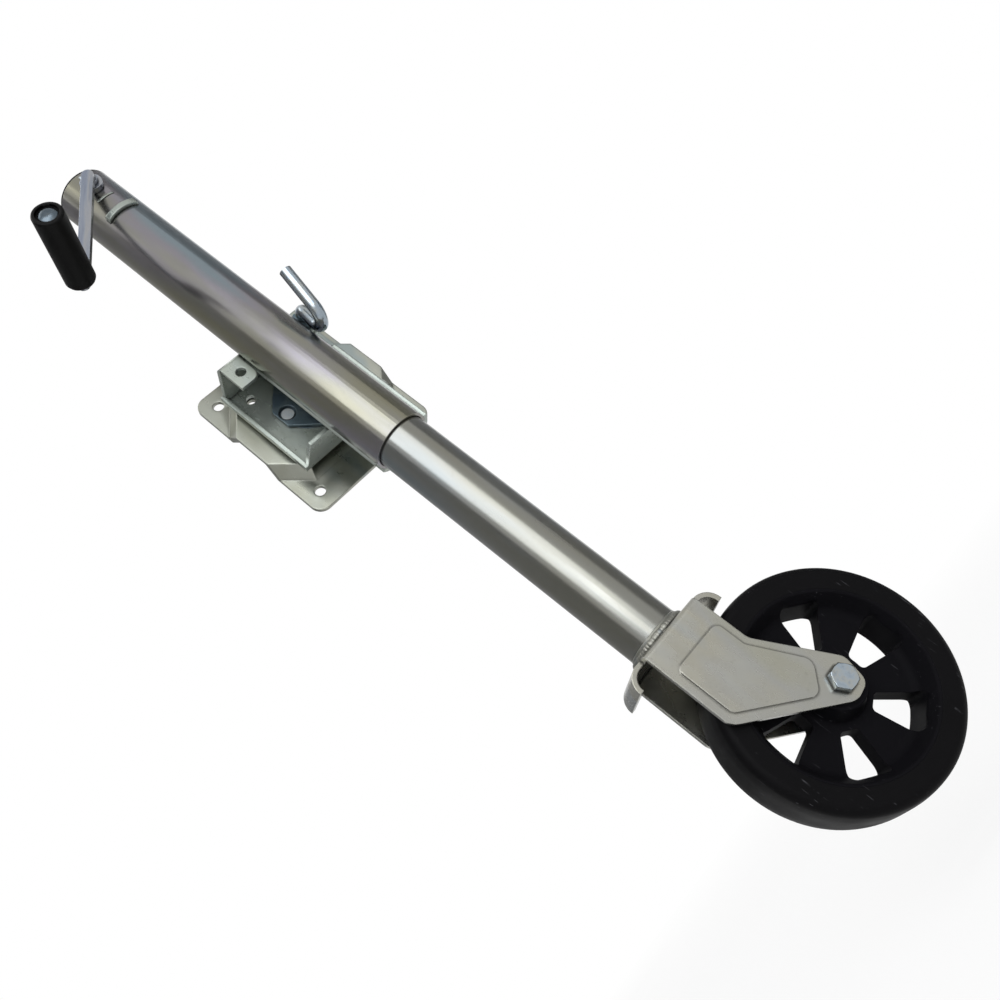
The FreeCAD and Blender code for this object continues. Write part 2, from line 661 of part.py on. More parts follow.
# The outer tube with the slots of its two inner plates and the bores of the crank shaft
outer = ring("outer_tube", "-$tube_foot", "$tube_head",
             "$tube_dia / 2 - $tube_wall", "$tube_dia / 2", "Z")
slots = sketch_on(outer, "XZ_Plane")
for centre, thick, wide in ((GEAR_PLATE, "$bearing_plate_thin", "$tab_wide"),
                            (THRUST_PLATE, "$thrust_plate_thick", "$thrust_tab_wide")):
    high = "%s + %s / 2 + $slot_fit" % (centre, thick)
    low = "%s - %s / 2 - $slot_room" % (centre, thick)
    side = "%s / 2 + $slot_fit" % wide
    draw_polygon(slots, [(side, low), (side, high), ("-(%s)" % side, high), ("-(%s)" % side, low)])
draw_circle(slots, "$shaft_dia / 2 + $bush_wall + $shaft_fit", 0, CRANK_HIGH)
pocket(outer, slots, "$through", middle=True)
on_tube(outer)


def inner_plate(label, centre, thick, wide, proud, bore):
    """A round plate inside the outer tube with a tab through the wall at the front and back."""
    made = body(label)
    base = sketch_on(made, "XY_Plane", "%s - %s / 2" % (centre, thick))
    draw_circle(base, "$tube_dia / 2 - $tube_wall - $play")
    draw_circle(base, bore)
    pad(made, base, thick)
    tabs = sketch_on(made, "XY_Plane", "%s - %s / 2" % (centre, thick))
    half = value_of(wide) / 2
    rim = tube_r + value_of(proud)
    start = size("tube_dia") / 2 - size("tube_wall") - 8
    end = math.sqrt(rim ** 2 - half ** 2)
    for sign in (1, -1):
        first = FreeCAD.Vector(half, sign * end, 0)
        second = FreeCAD.Vector(-half, sign * end, 0)
        tabs.addGeometry(Part.Arc(first, FreeCAD.Vector(0, sign * rim, 0), second), False)
        third = FreeCAD.Vector(-half, sign * start, 0)
        fourth = FreeCAD.Vector(half, sign * start, 0)
        tabs.addGeometry(Part.LineSegment(second, third), False)
        tabs.addGeometry(Part.LineSegment(third, fourth), False)
        tabs.addGeometry(Part.LineSegment(fourth, first), False)
    pad(made, tabs, thick)
    return on_tube(made)


journal_bore = "$journal_dia / 2 + $shaft_fit"
inner_plate("gear_plate", GEAR_PLATE, "$bearing_plate_thin", "$tab_wide", 0,
            journal_bore)
inner_plate("thrust_plate", THRUST_PLATE, "$thrust_plate_thick", "$thrust_tab_wide",
            "$tab_proud", journal_bore)
thrust_face = "(%s - $thrust_plate_thick / 2)" % THRUST_PLATE
on_tube(ring("thrust_bearing", thrust_face + " - $thrust_thick", thrust_face,
             journal_bore, "$collar_dia / 2 + 2", "Z"))

# The top cap is pressed into the outer tube, one rivet holds its skirt
cap = turned("top_cap", [
    ("$tube_head + $cap_rim", 0), ("$tube_head + $cap_rim", "$tube_dia / 2 - 2"),
    ("$tube_head + $cap_rim - 1.5", "$tube_dia / 2"), ("$tube_head", "$tube_dia / 2"),
    ("$tube_head", "$tube_dia / 2 - $tube_wall - 0.05"),
    ("$tube_head - $cap_skirt + 5", "$tube_dia / 2 - $tube_wall - 0.05"),
    ("$tube_head - $cap_skirt + 5", "$tube_dia / 2 - $tube_wall - $cap_wall"),
    ("$tube_head + $cap_rim - $cap_wall", "$tube_dia / 2 - $tube_wall - $cap_wall"),
    ("$tube_head + $cap_rim - $cap_wall", 0),
], "Z")
on_tube(cap)
rivet = turned("cap_rivet", [
    ("-$tube_dia / 2 - 1", 0), ("-$tube_dia / 2 - 0.9", "$rivet_dia / 2 - 0.8"),
    ("-$tube_dia / 2 - 0.2", "$rivet_dia / 2"), ("-$tube_dia / 2", "$rivet_dia / 2"),
    ("-$tube_dia / 2", 0),
], "Y")
place(rivet, 0, "-$tube_offset", "$tube_head - 5")

# The crank: shaft in two flanged bushes, flat arm, turning grip on a riveted spindle
for name, sign in (("front", "-"), ("rear", "")):
    bush = turned("crank_bush_" + name, [
        ("%s($tube_dia / 2 - $tube_wall)" % sign, "$shaft_dia / 2 + $shaft_fit"),
        ("%s($tube_dia / 2 + $bush_flange)" % sign, "$shaft_dia / 2 + $shaft_fit"),
        ("%s($tube_dia / 2 + $bush_flange)" % sign, "$bush_flange_dia / 2"),
        ("%s($tube_dia / 2 + 0.01)" % sign, "$bush_flange_dia / 2"),
        ("%s($tube_dia / 2 + 0.01)" % sign, "$shaft_dia / 2 + $bush_wall"),
        ("%s($tube_dia / 2 - $tube_wall)" % sign, "$shaft_dia / 2 + $bush_wall"),
    ], "Y")
    place(bush, 0, "-$tube_offset", CRANK_HIGH)
spigot_end = "-(%s - $arm_web - $play)" % ARM_FRONT
shaft = turned("crank_shaft", [
    (spigot_end, 0), (spigot_end, "$spigot_dia / 2"),
    ("-" + ARM_BACK, "$spigot_dia / 2"), ("-" + ARM_BACK, "$shaft_dia / 2"),
    ("$tube_dia / 2 + $bush_flange + 1", "$shaft_dia / 2"),
    ("$tube_dia / 2 + $bush_flange + 1", 0),
], "Y")
place(shaft, 0, "-$tube_offset", CRANK_HIGH)

arm = body("crank_arm")
sketch = sketch_on(arm, "XZ_Plane", ARM_BACK)
swing = math.atan2(-size("arm_down"), -size("arm_left"))
length = math.hypot(size("arm_down"), size("arm_left"))
half = size("arm_width") / 2
along = FreeCAD.Vector(math.cos(swing), math.sin(swing), 0)
aside = FreeCAD.Vector(-along.y, along.x, 0)
start = FreeCAD.Vector(0, 0, 0)
stop = along * length
sketch.addGeometry(Part.LineSegment(start + aside * half, stop + aside * half), False)
sketch.addGeometry(Part.Arc(stop + aside * half, stop + along * half, stop - aside * half), False)
sketch.addGeometry(Part.LineSegment(stop - aside * half, start - aside * half), False)
sketch.addGeometry(Part.Arc(start - aside * half, start - along * half, start + aside * half),
                   False)
draw_circle(sketch, "$spindle_dia / 2 + 0.02", "-$arm_left", "-$arm_down")
pad(arm, sketch, "$arm_thick")
bore = sketch_on(arm, "XZ_Plane", ARM_BACK)
draw_circle(bore, "$spigot_dia / 2 + 0.02")
pocket(arm, bore, "$arm_thick - $arm_web", flip=True)
place(arm, 0, "-$tube_offset", CRANK_HIGH)

grip_near = "(%s + $grip_gap)" % ARM_FRONT
grip_end = "(%s + $grip_length)" % grip_near
spindle = turned("grip_spindle", [
    ("-%s - $play" % ARM_BACK, 0), ("-%s - $play" % ARM_BACK, "$spindle_dia / 2"),
    ("-" + ARM_FRONT, "$spindle_dia / 2"), ("-" + ARM_FRONT, "$spindle_head / 2"),
    ("-%s + $play" % grip_near, "$spindle_head / 2"),
    ("-%s + $play" % grip_near, "$spindle_dia / 2"),
    ("-%s + $grip_recess - $play" % grip_end, "$spindle_dia / 2"),
    ("-%s + $grip_recess - $play" % grip_end, "$spindle_head / 2"),
    ("-%s + $grip_recess - 1.2" % grip_end, "$spindle_head / 2"),
    ("-%s + $grip_recess - 2.6" % grip_end, "$spindle_head / 2 - 2.5"),
    ("-%s + $grip_recess - 3.2" % grip_end, "$spindle_head / 2 - 5.5"),
    ("-%s + $grip_recess - 3.2" % grip_end, 0),
], "Y")
grip = turned("grip", [
    ("-" + grip_near, "$spindle_dia / 2 + $play"), ("-" + grip_near, "$grip_dia / 2 - 3"),
    ("-%s - 1" % grip_near, "$grip_dia / 2 - 1"), ("-%s - 3" % grip_near, "$grip_dia / 2"),
    ("-%s + 2" % grip_end, "$grip_dia / 2"), ("-%s + 0.6" % grip_end, "$grip_dia / 2 - 0.6"),
    ("-" + grip_end, "$grip_dia / 2 - 2"), ("-" + grip_end, "$grip_recess_dia / 2"),
    ("-%s + $grip_recess" % grip_end, "$grip_recess_dia / 2"),
    ("-%s + $grip_recess" % grip_end, "$spindle_dia / 2 + $play"),
], "Y")
for piece in (spindle, grip):
    place(piece, "-$arm_left", "-$tube_offset", CRANK_HIGH + " - $arm_down")

# The bevel gears: straight teeth that run to the point where both axes meet
teeth = int(round(size("gear_teeth")))
pitch_r = size("gear_module") * teeth / 2
diagonal = math.sqrt(2)


def gear_section(scale, half_step):
    """The toothed outline of a bevel gear in a plane across its axis."""
    high = size("gear_tip") / diagonal
    low = size("gear_root") / diagonal
    tip_r = (pitch_r + high) * pitch_r / (pitch_r - high)
    root_r = (pitch_r - low) * pitch_r / (pitch_r + low)
    step = 2 * math.pi / teeth
    pitch_half = step * size("gear_fill") / 2
    rise = math.tan(math.radians(20))
    tip_half = pitch_half - rise * (tip_r - pitch_r) / pitch_r
    root_half = pitch_half + rise * (pitch_r - root_r) / pitch_r
    points = []
    for n in range(teeth):
        middle = (n + half_step) * step
        for radius, angle in ((root_r, -root_half), (tip_r, -tip_half),
                              (tip_r, tip_half), (root_r, root_half)):
            points.append(FreeCAD.Vector(
                scale * radius * math.cos(middle + angle),
                scale * radius * math.sin(middle + angle), -scale * pitch_r))
    return Part.makePolygon(points + points[:1])


def bevel_gear(label, half_step, bore, hub_long):
    """A bevel gear, apex at its origin and back towards -Z, with a round hub behind."""
    small = 1 - size("gear_face")
    toothed = Part.makeLoft([gear_section(1, half_step), gear_section(small, half_step)],
                            True, True)
    back = FreeCAD.Vector(0, 0, -pitch_r - hub_long)
    boss = Part.makeCylinder(pitch_r - 4, hub_long, back)
    hole = Part.makeCylinder(bore, 4 * pitch_r, FreeCAD.Vector(0, 0, -3 * pitch_r))
    made = keep(doc.addObject("Part::Feature", label), label)
    made.Shape = toothed.fuse(boss).cut(hole).removeSplitter()
    return made


apex = FreeCAD.Vector(0, axis_y, value_of(CRANK_HIGH))
gear_bore = size("shaft_dia") / 2 + 0.02
crown = bevel_gear("crown_gear", 0, size("journal_dia") / 2 + 0.02, size("crown_hub"))
crown.Placement = FreeCAD.Placement(apex, FreeCAD.Rotation())
pinion = bevel_gear("bevel_pinion", 0.5, gear_bore, 5)
pinion.Placement = FreeCAD.Placement(apex, FreeCAD.Rotation(FreeCAD.Vector(1, 0, 0), -90))

# The lead screw hangs on its collar under the thrust bearing, the crown gear sits on its top
collar_top = "(%s - $thrust_thick - $play)" % thrust_face
screw_top = "(%s - $shaft_dia / 2 - 1)" % CRANK_HIGH
lead = turned("lead_screw", [
    ("-$lead_foot", 0), ("-$lead_foot", "$screw_od / 2 - 2"),
    ("-$lead_foot + 2", "$screw_od / 2"), (collar_top + " - $collar_thick", "$screw_od / 2"),
    (collar_top + " - $collar_thick", "$collar_dia / 2"), (collar_top, "$collar_dia / 2"),
    (collar_top, "$journal_dia / 2"), (screw_top, "$journal_dia / 2"), (screw_top, 0),
], "Z")
on_tube(lead)

# The leg: inner tube with the lead nut in its top, and the fork welded to its foot
leg = ring("inner_tube", "-$fork_crown", "-$inner_top",
           INNER_R + " - $inner_wall", INNER_R, "Z")
on_tube(leg)
nut = ring("lead_nut", "-$inner_top - $nut_thick", "-$inner_top",
           "$screw_od / 2 + $play", INNER_R + " - $inner_wall - 0.02", "Z")
on_tube(nut)
bead = turned("fork_weld", [
    ("-$fork_crown", INNER_R + " + 0.02"),
    ("-$fork_crown + $bead_high", INNER_R + " + 0.02"),
    ("-$fork_crown + $bead_high * 0.45", INNER_R + " + $bead_wide * 0.45"),
    ("-$fork_crown", INNER_R + " + $bead_wide"),
], "Z")
on_tube(bead)

# The fork is one pressing: crown, two legs down to the axle, two ears curled over the wheel
fork = body("fork")
crown_z = -size("fork_crown")
leg_left = -size("fork_left")
leg_right = size("fork_right")
trail = size("axle_trail")
axle_z = -value_of(AXLE_LOW)
end_r = size("axle_end")
fork_half = size("fork_gap") / 2 + wall
sketch = sketch_on(fork, "XZ_Plane")
draw_rounded(sketch, [
    (leg_left, crown_z, 0),
    (leg_left, crown_z - size("leg_back"), 14),
    (trail - 5.5, axle_z - end_r - 3.2, 14),
    (trail + 11, axle_z - end_r - 0.5, 9),
    (trail + 16.5, axle_z + 8, 10),
    (leg_right, crown_z - size("leg_front"), 14),
    (leg_right, crown_z, 0),
])
pad(fork, sketch, "$fork_gap + 2 * $sheet_thick", middle=True)
gap = sketch_on(fork, "YZ_Plane")
draw_polygon(gap, [
    ("$fork_gap / 2", "-$fork_crown - $sheet_thick"),
    ("-$fork_gap / 2", "-$fork_crown - $sheet_thick"),
    ("-$fork_gap / 2", "-%s - $wheel_dia" % AXLE_LOW), ("$fork_gap / 2", "-%s - $wheel_dia" % AXLE_LOW),
])
hollow = pocket(fork, gap, "$through", middle=True)


def fork_bend(edge):
    """The two long top edges where the fork legs are bent down from the crown."""
    box = edge.BoundBox
    on_top = abs(box.ZMin - crown_z) < 0.01 and box.ZLength < 0.01
    return on_top and abs(abs(box.YMin) - fork_half) < 0.01 and box.YLength < 0.01


round_edges(fork, hollow, "$bend_out", fork_bend)
curl = sketch_on(fork, "XZ_Plane")
span = size("ear_span")
curl_r = size("curl_radius")
panel_top = crown_z - size("panel_top")
for sign in (1, -1):
    edge_x = sign * 25
    bend_x = sign * (span - curl_r)
    tip = FreeCAD.Vector(sign * span, crown_z - curl_r - 1, 0)
    tip_in = FreeCAD.Vector(sign * (span - wall), crown_z - curl_r - 1, 0)
    middle = math.radians(45)
    knee_out = FreeCAD.Vector(bend_x + sign * curl_r * math.cos(middle),
                              crown_z - curl_r + curl_r * math.sin(middle), 0)
    small_r = curl_r - wall
    knee_in = FreeCAD.Vector(bend_x + sign * small_r * math.cos(middle),
                             crown_z - curl_r + small_r * math.sin(middle), 0)
    points = [
        FreeCAD.Vector(edge_x, crown_z, 0), FreeCAD.Vector(bend_x, crown_z, 0), tip, tip_in,
        FreeCAD.Vector(bend_x, crown_z - wall, 0), FreeCAD.Vector(edge_x, crown_z - wall, 0),
    ]
    side_out = FreeCAD.Vector(sign * span, crown_z - curl_r, 0)
    side_in = FreeCAD.Vector(sign * (span - wall), crown_z - curl_r, 0)
    curl.addGeometry(Part.LineSegment(points[0], points[1]), False)
    curl.addGeometry(Part.Arc(points[1], knee_out, side_out), False)
    curl.addGeometry(Part.LineSegment(side_out, tip), False)
    curl.addGeometry(Part.LineSegment(tip, tip_in), False)
    curl.addGeometry(Part.LineSegment(tip_in, side_in), False)
    curl.addGeometry(Part.Arc(side_in, knee_in, points[4]), False)
    curl.addGeometry(Part.LineSegment(points[4], points[5]), False)
    curl.addGeometry(Part.LineSegment(points[5], points[0]), False)
pad(fork, curl, "$ear_wide", middle=True)


def panel_outline(shrink):
    """The embossed panel on a fork leg, pulled in by shrink."""
    return [
        (leg_left + 7.5 + shrink, panel_top - shrink, 6),
        (leg_left + 7.5 + shrink, crown_z - size("panel_back") + shrink / 2, 8),
        (trail - 21.5, axle_z + 5 + shrink, 7),
        (trail - 1 - shrink, axle_z + 24, 9),
        (leg_right - 6 - shrink, crown_z - size("panel_front"), 8),
        (leg_right - 6 - shrink, panel_top - shrink, 6),
    ]


for face in (1, -1):
    lifts = (face * fork_half, face * (fork_half + size("panel_proud")))
    sections = []
    for lift, shrink in ((lifts[0], 0), (lifts[1], size("panel_draft"))):
        section = sketch_on(fork, "XZ_Plane", lift)
        draw_rounded(section, panel_outline(shrink))
        sections.append(section)
    made = feature(fork, "AdditiveLoft", sections[0], Ruled=True)
    made.Sections = sections[1:]
drill = sketch_on(fork, "XZ_Plane")
draw_circle(drill, "$axle_dia / 2 + 0.15", "$axle_trail", "-" + AXLE_LOW)
pocket(fork, drill, "$through", middle=True)
on_tube(fork)

# The axle: bolt, washers and nut outside the fork, a sleeve that the wheel turns on
fork_face = "($fork_gap / 2 + $sheet_thick)"
washer_face = "(%s + $axle_washer_thick)" % fork_face


def on_axle(thing):
    """Put an object on the wheel axle."""
    return place(thing, "$axle_trail", "-$tube_offset", "-" + AXLE_LOW)


def bevel_corners(owner, face, back):
    """Turn the corners off a hexagon's outer face. Both are positions along Y."""
    section = sketch_on(owner, "YZ_Plane")
    draw_polygon(section, [(face, "$hex_flats / 2 - 0.3"), (face, "$hex_flats * 0.6"),
                           (back, "$hex_flats * 0.6")])
    feature(owner, "Groove", section, ReferenceAxis=(section, ["H_Axis"]), Angle=360)


bolt = turned("axle_bolt", [
    ("-" + fork_face, 0), ("-" + fork_face, "$axle_dia / 2"),
    ("%s + $hex_nut + 3" % washer_face, "$axle_dia / 2"),
    ("%s + $hex_nut + 4" % washer_face, "$axle_dia / 2 - 1"),
    ("%s + $hex_nut + 4" % washer_face, 0),
], "Y")
outline = sketch_on(bolt, "XZ_Plane", fork_face)
draw_polygon(outline, hexagon("$hex_flats", "0", "0"))
pad(bolt, outline, "$hex_head")
bevel_corners(bolt, "-%s - $hex_head" % fork_face, "-%s - $hex_head + 1.3" % fork_face)
on_axle(bolt)

nut = body("axle_nut")
outline = sketch_on(nut, "XZ_Plane", "-" + washer_face)
draw_polygon(outline, hexagon("$hex_flats", "0", "0"))
draw_circle(outline, "$axle_dia / 2 + $thread_fit")
pad(nut, outline, "$hex_nut", flip=True)
bevel_corners(nut, "%s + $hex_nut" % washer_face, "%s + $hex_nut - 1.3" % washer_face)
on_axle(nut)

washer = ring("axle_washer", fork_face, washer_face, "$axle_dia / 2 + 0.3", "$axle_washer / 2", "Y")
on_axle(washer)

sleeve = ring("axle_sleeve", "-$fork_gap / 2 + 0.02", "$fork_gap / 2 - 0.02",
              "$axle_dia / 2 + 0.1", "$sleeve_dia / 2", "Y")
on_axle(sleeve)

# The wheel: moulded rim with six windows, tyre round it
rim_r = size("wheel_face") / 2
rim = body("wheel_rim")
half_w = size("wheel_width") / 2
web = size("web_half")
hub_r = size("hub_outer") / 2
bore_r = size("sleeve_dia") / 2 + size("play")
half_profile = [
    (size("hub_half"), bore_r, 0), (size("hub_half"), hub_r, 2), (web, hub_r + 5, 5),
    (web, size("window_far") - 4, 10), (half_w, rim_r - 2, 3), (half_w, rim_r, 0),
]
sketch = sketch_on(rim, "YZ_Plane")
draw_rounded(sketch, half_profile + [(-y, r, bend) for y, r, bend in reversed(half_profile)])
feature(rim, "Revolution", sketch, ReferenceAxis=(sketch, ["H_Axis"]), Angle=360)
windows = sketch_on(rim, "XZ_Plane")
near = size("window_near")
far = size("window_far")
turn = math.radians(-size("window_turn"))


def spun(x, y, radius):
    """A window corner turned to the first window's place."""
    return (x * math.cos(turn) - y * math.sin(turn), x * math.sin(turn) + y * math.cos(turn),
            radius)


draw_rounded(windows, [
    spun(near, -size("window_near_half"), size("window_corner")),
    spun(far, -size("window_far_half"), size("window_corner")),
    spun(far, size("window_far_half"), size("window_corner")),
    spun(near, size("window_near_half"), size("window_corner")),
])
cut_one = pocket(rim, windows, "$through", middle=True)
doc.recompute()
pattern = rim.newObject("PartDesign::PolarPattern", "wheel_rim_pattern")
pattern.Originals = [cut_one]
pattern.Axis = (windows, ["N_Axis"])
pattern.Angle = 360
bind(pattern, "Occurrences", "$spoke_count")
rim.Tip = pattern
on_axle(rim)

tyre = body("tyre")
sketch = sketch_on(tyre, "YZ_Plane")
out_r = size("wheel_dia") / 2
side_r = size("tyre_shoulder")
draw_rounded(sketch, [
    (half_w, rim_r + 0.02, 0), (half_w, out_r - 2, side_r), (half_w / 2, out_r, size("tyre_crown")),
    (-half_w / 2, out_r, size("tyre_crown")), (-half_w, out_r - 2, side_r), (-half_w, rim_r + 0.02, 0),
])
feature(tyre, "Revolution", sketch, ReferenceAxis=(sketch, ["H_Axis"]), Angle=360)
on_axle(tyre)

# The lock pin: spring-loaded plunger with a bent handle, shown parked
pin_x = value_of(LOCK_SIDE)
ear_front = value_of(EAR_FACE)
pin_r = size("pin_dia") / 2
rod_r = size("handle_dia") / 2
rod_start = -ear_front - size("pin_bush_long") - size("pin_travel") - size("handle_gap")
nose_y = -value_of(raised) - size("pin_clear")
elbow = FreeCAD.Vector(pin_x, -value_of(HANDLE_IN + " + $pin_travel"), pin_x)
crossing = elbow - FreeCAD.Vector(size("handle_left"), 0, size("handle_down"))
handle_end = crossing + FreeCAD.Vector(size("handle_right"), -size("handle_out"),
                                       size("handle_up"))
bends = [FreeCAD.Vector(pin_x, rod_start, pin_x), elbow, crossing, handle_end]


def bent_path(points, radii):
    """A wire of straight runs joined by tangent arcs, one radius for each inner point."""
    edges = []
    start = points[0]
    for n, radius in enumerate(radii, start=1):
        back = (points[n - 1] - points[n]).normalize()
        ahead = (points[n + 1] - points[n]).normalize()
        half = back.getAngle(ahead) / 2
        cut = radius / math.tan(half)
        first = points[n] + back * cut
        second = points[n] + ahead * cut
        middle = (back + ahead).normalize()
        top = points[n] + middle * (radius / math.sin(half) - radius)
        edges.append(Part.LineSegment(start, first).toShape())
        edges.append(Part.Arc(first, top, second).toShape())
        start = second
    edges.append(Part.LineSegment(start, points[-1]).toShape())
    return Part.Wire(edges)


path = bent_path(bends, (size("handle_elbow"), size("handle_turn")))
rod = Part.Wire([Part.makeCircle(rod_r, bends[0], FreeCAD.Vector(0, -1, 0))])
handle = path.makePipeShell([rod], True, False)
nose = Part.makeCylinder(pin_r, nose_y - rod_start + 1, FreeCAD.Vector(pin_x, nose_y, pin_x),
                         FreeCAD.Vector(0, -1, 0))
lock_pin = keep(doc.addObject("Part::Feature", "lock_pin"), "lock_pin")
lock_pin.Shape = handle.fuse(nose).removeSplitter()

bush = ring("lock_bush", "-%s - $pin_bush_long" % EAR_FACE, "-%s - 0.01" % EAR_FACE,
            "$pin_dia / 2 + $pin_fit", "$pin_bush_dia / 2", "Y")
notch = sketch_on(bush, "XZ_Plane", "%s + $pin_bush_long" % EAR_FACE)
draw_polygon(notch, [("$notch_wide / 2", "$pin_bush_dia"), ("-$notch_wide / 2", "$pin_bush_dia"),
                     ("-$notch_wide / 2", "-$pin_bush_dia"), ("$notch_wide / 2", "-$pin_bush_dia")])
pocket(bush, notch, "$notch_deep")
collar = ring("pin_collar", "-$pin_collar_at - $pin_collar_thick", "-$pin_collar_at",
              "$pin_dia / 2 + 0.02", "$pin_collar_dia / 2", "Y")
for piece in (bush, collar):
    place(piece, LOCK_SIDE, 0, LOCK_SIDE)

coil_start = -(size("pin_collar_at") + size("pin_collar_thick")) - size("spring_wire") / 2 - 0.3
coil_stop = -(ear_front - wall) + size("spring_wire") / 2 + 0.05
coil_long = coil_start - coil_stop
helix = Part.makeHelix(coil_long / size("spring_turns"), coil_long, size("spring_dia") / 2)
wire_at = FreeCAD.Vector(size("spring_dia") / 2, 0, 0)
wire_round = Part.Wire([Part.makeCircle(size("spring_wire") / 2, wire_at,
                                        FreeCAD.Vector(0, 1, 0))])
coil = Part.Wire(helix.Edges).makePipeShell([wire_round], True, True)
spring = keep(doc.addObject("Part::Feature", "lock_spring"), "lock_spring")
spring.Shape = coil
spring.Placement = FreeCAD.Placement(
    FreeCAD.Vector(pin_x, coil_start, pin_x),
    FreeCAD.Rotation(FreeCAD.Vector(1, 0, 0), 90))

doc.recompute()

for thing in doc.Objects:
    for word in thing.State:
        if word in ("Invalid", "Error"):
            raise RuntimeError("%s did not build" % thing.Label)
for piece in PIECES:
    if piece.Shape.isNull() or not piece.Shape.isValid():
        raise RuntimeError("%s has no sound shape" % piece.Label)

os.makedirs("parts", exist_ok=True)
for piece in PIECES:
    piece.Shape.exportStep("parts/%s.step" % piece.Label)
    print(piece.Label, len(piece.Shape.Solids), round(piece.Shape.Volume, 1))
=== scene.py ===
"""Studio scene of a swing-up side-wind trailer jack: zinc-plated steel, black mouldings."""

import logging
import math
from dataclasses import dataclass, field
from enum import Enum

import bmesh
import bpy
from mathutils import Matrix, Vector


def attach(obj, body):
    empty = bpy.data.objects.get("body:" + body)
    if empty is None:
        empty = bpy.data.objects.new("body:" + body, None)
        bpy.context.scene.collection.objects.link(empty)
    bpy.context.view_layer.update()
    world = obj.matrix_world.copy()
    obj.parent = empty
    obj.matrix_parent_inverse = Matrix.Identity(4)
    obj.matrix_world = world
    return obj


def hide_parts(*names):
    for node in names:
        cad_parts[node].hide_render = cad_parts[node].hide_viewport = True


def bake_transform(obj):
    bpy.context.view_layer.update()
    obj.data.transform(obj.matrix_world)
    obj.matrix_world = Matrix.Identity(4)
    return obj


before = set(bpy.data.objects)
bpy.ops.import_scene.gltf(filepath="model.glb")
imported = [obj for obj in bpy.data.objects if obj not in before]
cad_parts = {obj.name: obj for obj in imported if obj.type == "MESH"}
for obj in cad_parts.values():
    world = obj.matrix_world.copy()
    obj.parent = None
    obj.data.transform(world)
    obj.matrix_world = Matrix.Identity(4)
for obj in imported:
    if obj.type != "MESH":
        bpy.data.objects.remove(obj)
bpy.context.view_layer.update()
LOG = logging.getLogger("trailer_jack")
MM = 0.001

# How often a material looks round a point for rounded edges and seams
SHADER_SAMPLES = 6
# Nearly all of a noise lies between these values
CLOUD_SPAN = (0.3, 0.7)
# Noise values at which the plate's film has its four colours
FILM_STOPS = (0.34, 0.46, 0.57, 0.68)
# Clouds of gloss on the plate, and its small dull spots
GLOSS_MM = 14.0
SPOT_MM = 3.2
SPOT_SPAN = (0.60, 0.74)
SPOT_GREY = "#6E6C66"
# Cosine between the true normal and the rounded one, from unrubbed to fully rubbed
RUBBED_SPAN = (0.99, 0.86)
# Colour of the shade painted into seams and creases, where the AO node finds them closed in
PAINTED_SEAM_SHADE = "#2E2D29"
# Mouldings: pale clouds, and hair-thin scuffs, drawn out long, that lie in patches
BLOOM_MM = 30.0
SCUFF_MM = 1.3
SCUFF_SQUEEZE = 0.05
SCUFF_TURN = (0.5, 0.3, 0.8)
SCUFF_SPAN = (0.68, 0.74)
SCUFF_PATCH_MM = 12.0
SCUFF_PATCH_SPAN = (0.54, 0.66)
SCUFF_GREY = "#6C6C70"
MOULD_EDGE_MM = 1.0
# CAD copies: vertices this close are one, and faces this nearly level are one face
MERGE_M = 2e-6
FLAT_DEG = 0.5
# Edges of a CAD copy that are sharper than this stay sharp
SHARP_DEG = 32.0
ROUND_STEPS = 3
# Half the width of a thread's crest, as a share of its pitch
CREST_SHARE = 0.28
SENSOR_MM = 36.0


def linear(hex_colour: str) -> tuple[float, float, float, float]:
    """Turn an sRGB hex value into linear light.

    Args:
        hex_colour: a colour such as "#B9B8B0".

    Returns:
        Red, green, blue and an alpha of 1.
    """
    parts = [int(hex_colour[n:n + 2], 16) / 255 for n in (1, 3, 5)]
    light = [c / 12.92 if c <= 0.04045 else ((c + 0.055) / 1.055) ** 2.4 for c in parts]
    return light[0], light[1], light[2], 1.0


def grey(level: float) -> tuple[float, float, float, float]:
    """A grey of the given linear level."""
    return level, level, level, 1.0


def add_node(tree: bpy.types.NodeTree, kind: str, inputs: dict | None = None,
             **settings: object) -> bpy.types.Node:
    """Add a node with its settings and links.

    Args:
        tree: the node tree that gets the node.
        kind: the node's type name.
        inputs: values or linked sockets by input name or index.
        settings: the node's own properties.

    Returns:
        The new node.
    """
    made = tree.nodes.new(kind)
    for name, value in settings.items():
        setattr(made, name, value)
    for key, value in (inputs or {}).items():
        socket = made.inputs[key]
        if isinstance(value, bpy.types.NodeSocket):
            tree.links.new(value, socket)
        else:
            socket.default_value = value
    return made


def set_ramp(ramp: bpy.types.Node, stops: list[tuple[float, tuple[float, ...]]]) -> None:
    """Give a colour ramp its stops.

    Args:
        ramp: the colour ramp node.
        stops: position and colour of each stop, at least two.
    """
    elements = ramp.color_ramp.elements
    while len(elements) < len(stops):
        elements.new(0.5)
    for element, (position, colour) in zip(elements, stops):
        element.position = position
        element.color = colour


def blank_material(name: str) -> bpy.types.Material:
    """A material with an empty node tree.

    Args:
        name: the material's name.

    Returns:
        The material.
    """
    made = bpy.data.materials.new(name)
    made.use_nodes = True
    made.node_tree.nodes.clear()
    return made


def noise(tree: bpy.types.NodeTree, where: bpy.types.NodeSocket, size_mm: float,
          detail: float, roughness: float = 0.5) -> bpy.types.NodeSocket:
    """Cloudy noise of a real size.

    Args:
        tree: the material's tree.
        where: the place it is read at, in metres.
        size_mm: size of its clouds.
        detail: how many finer layers lie on the first.
        roughness: how strong the finer layers are.

    Returns:
        The noise, nearly all of it inside CLOUD_SPAN.
    """
    made = add_node(tree, "ShaderNodeTexNoise", {
        "Vector": where, "Scale": 1000 / size_mm, "Detail": detail, "Roughness": roughness})
    return made.outputs["Fac"]


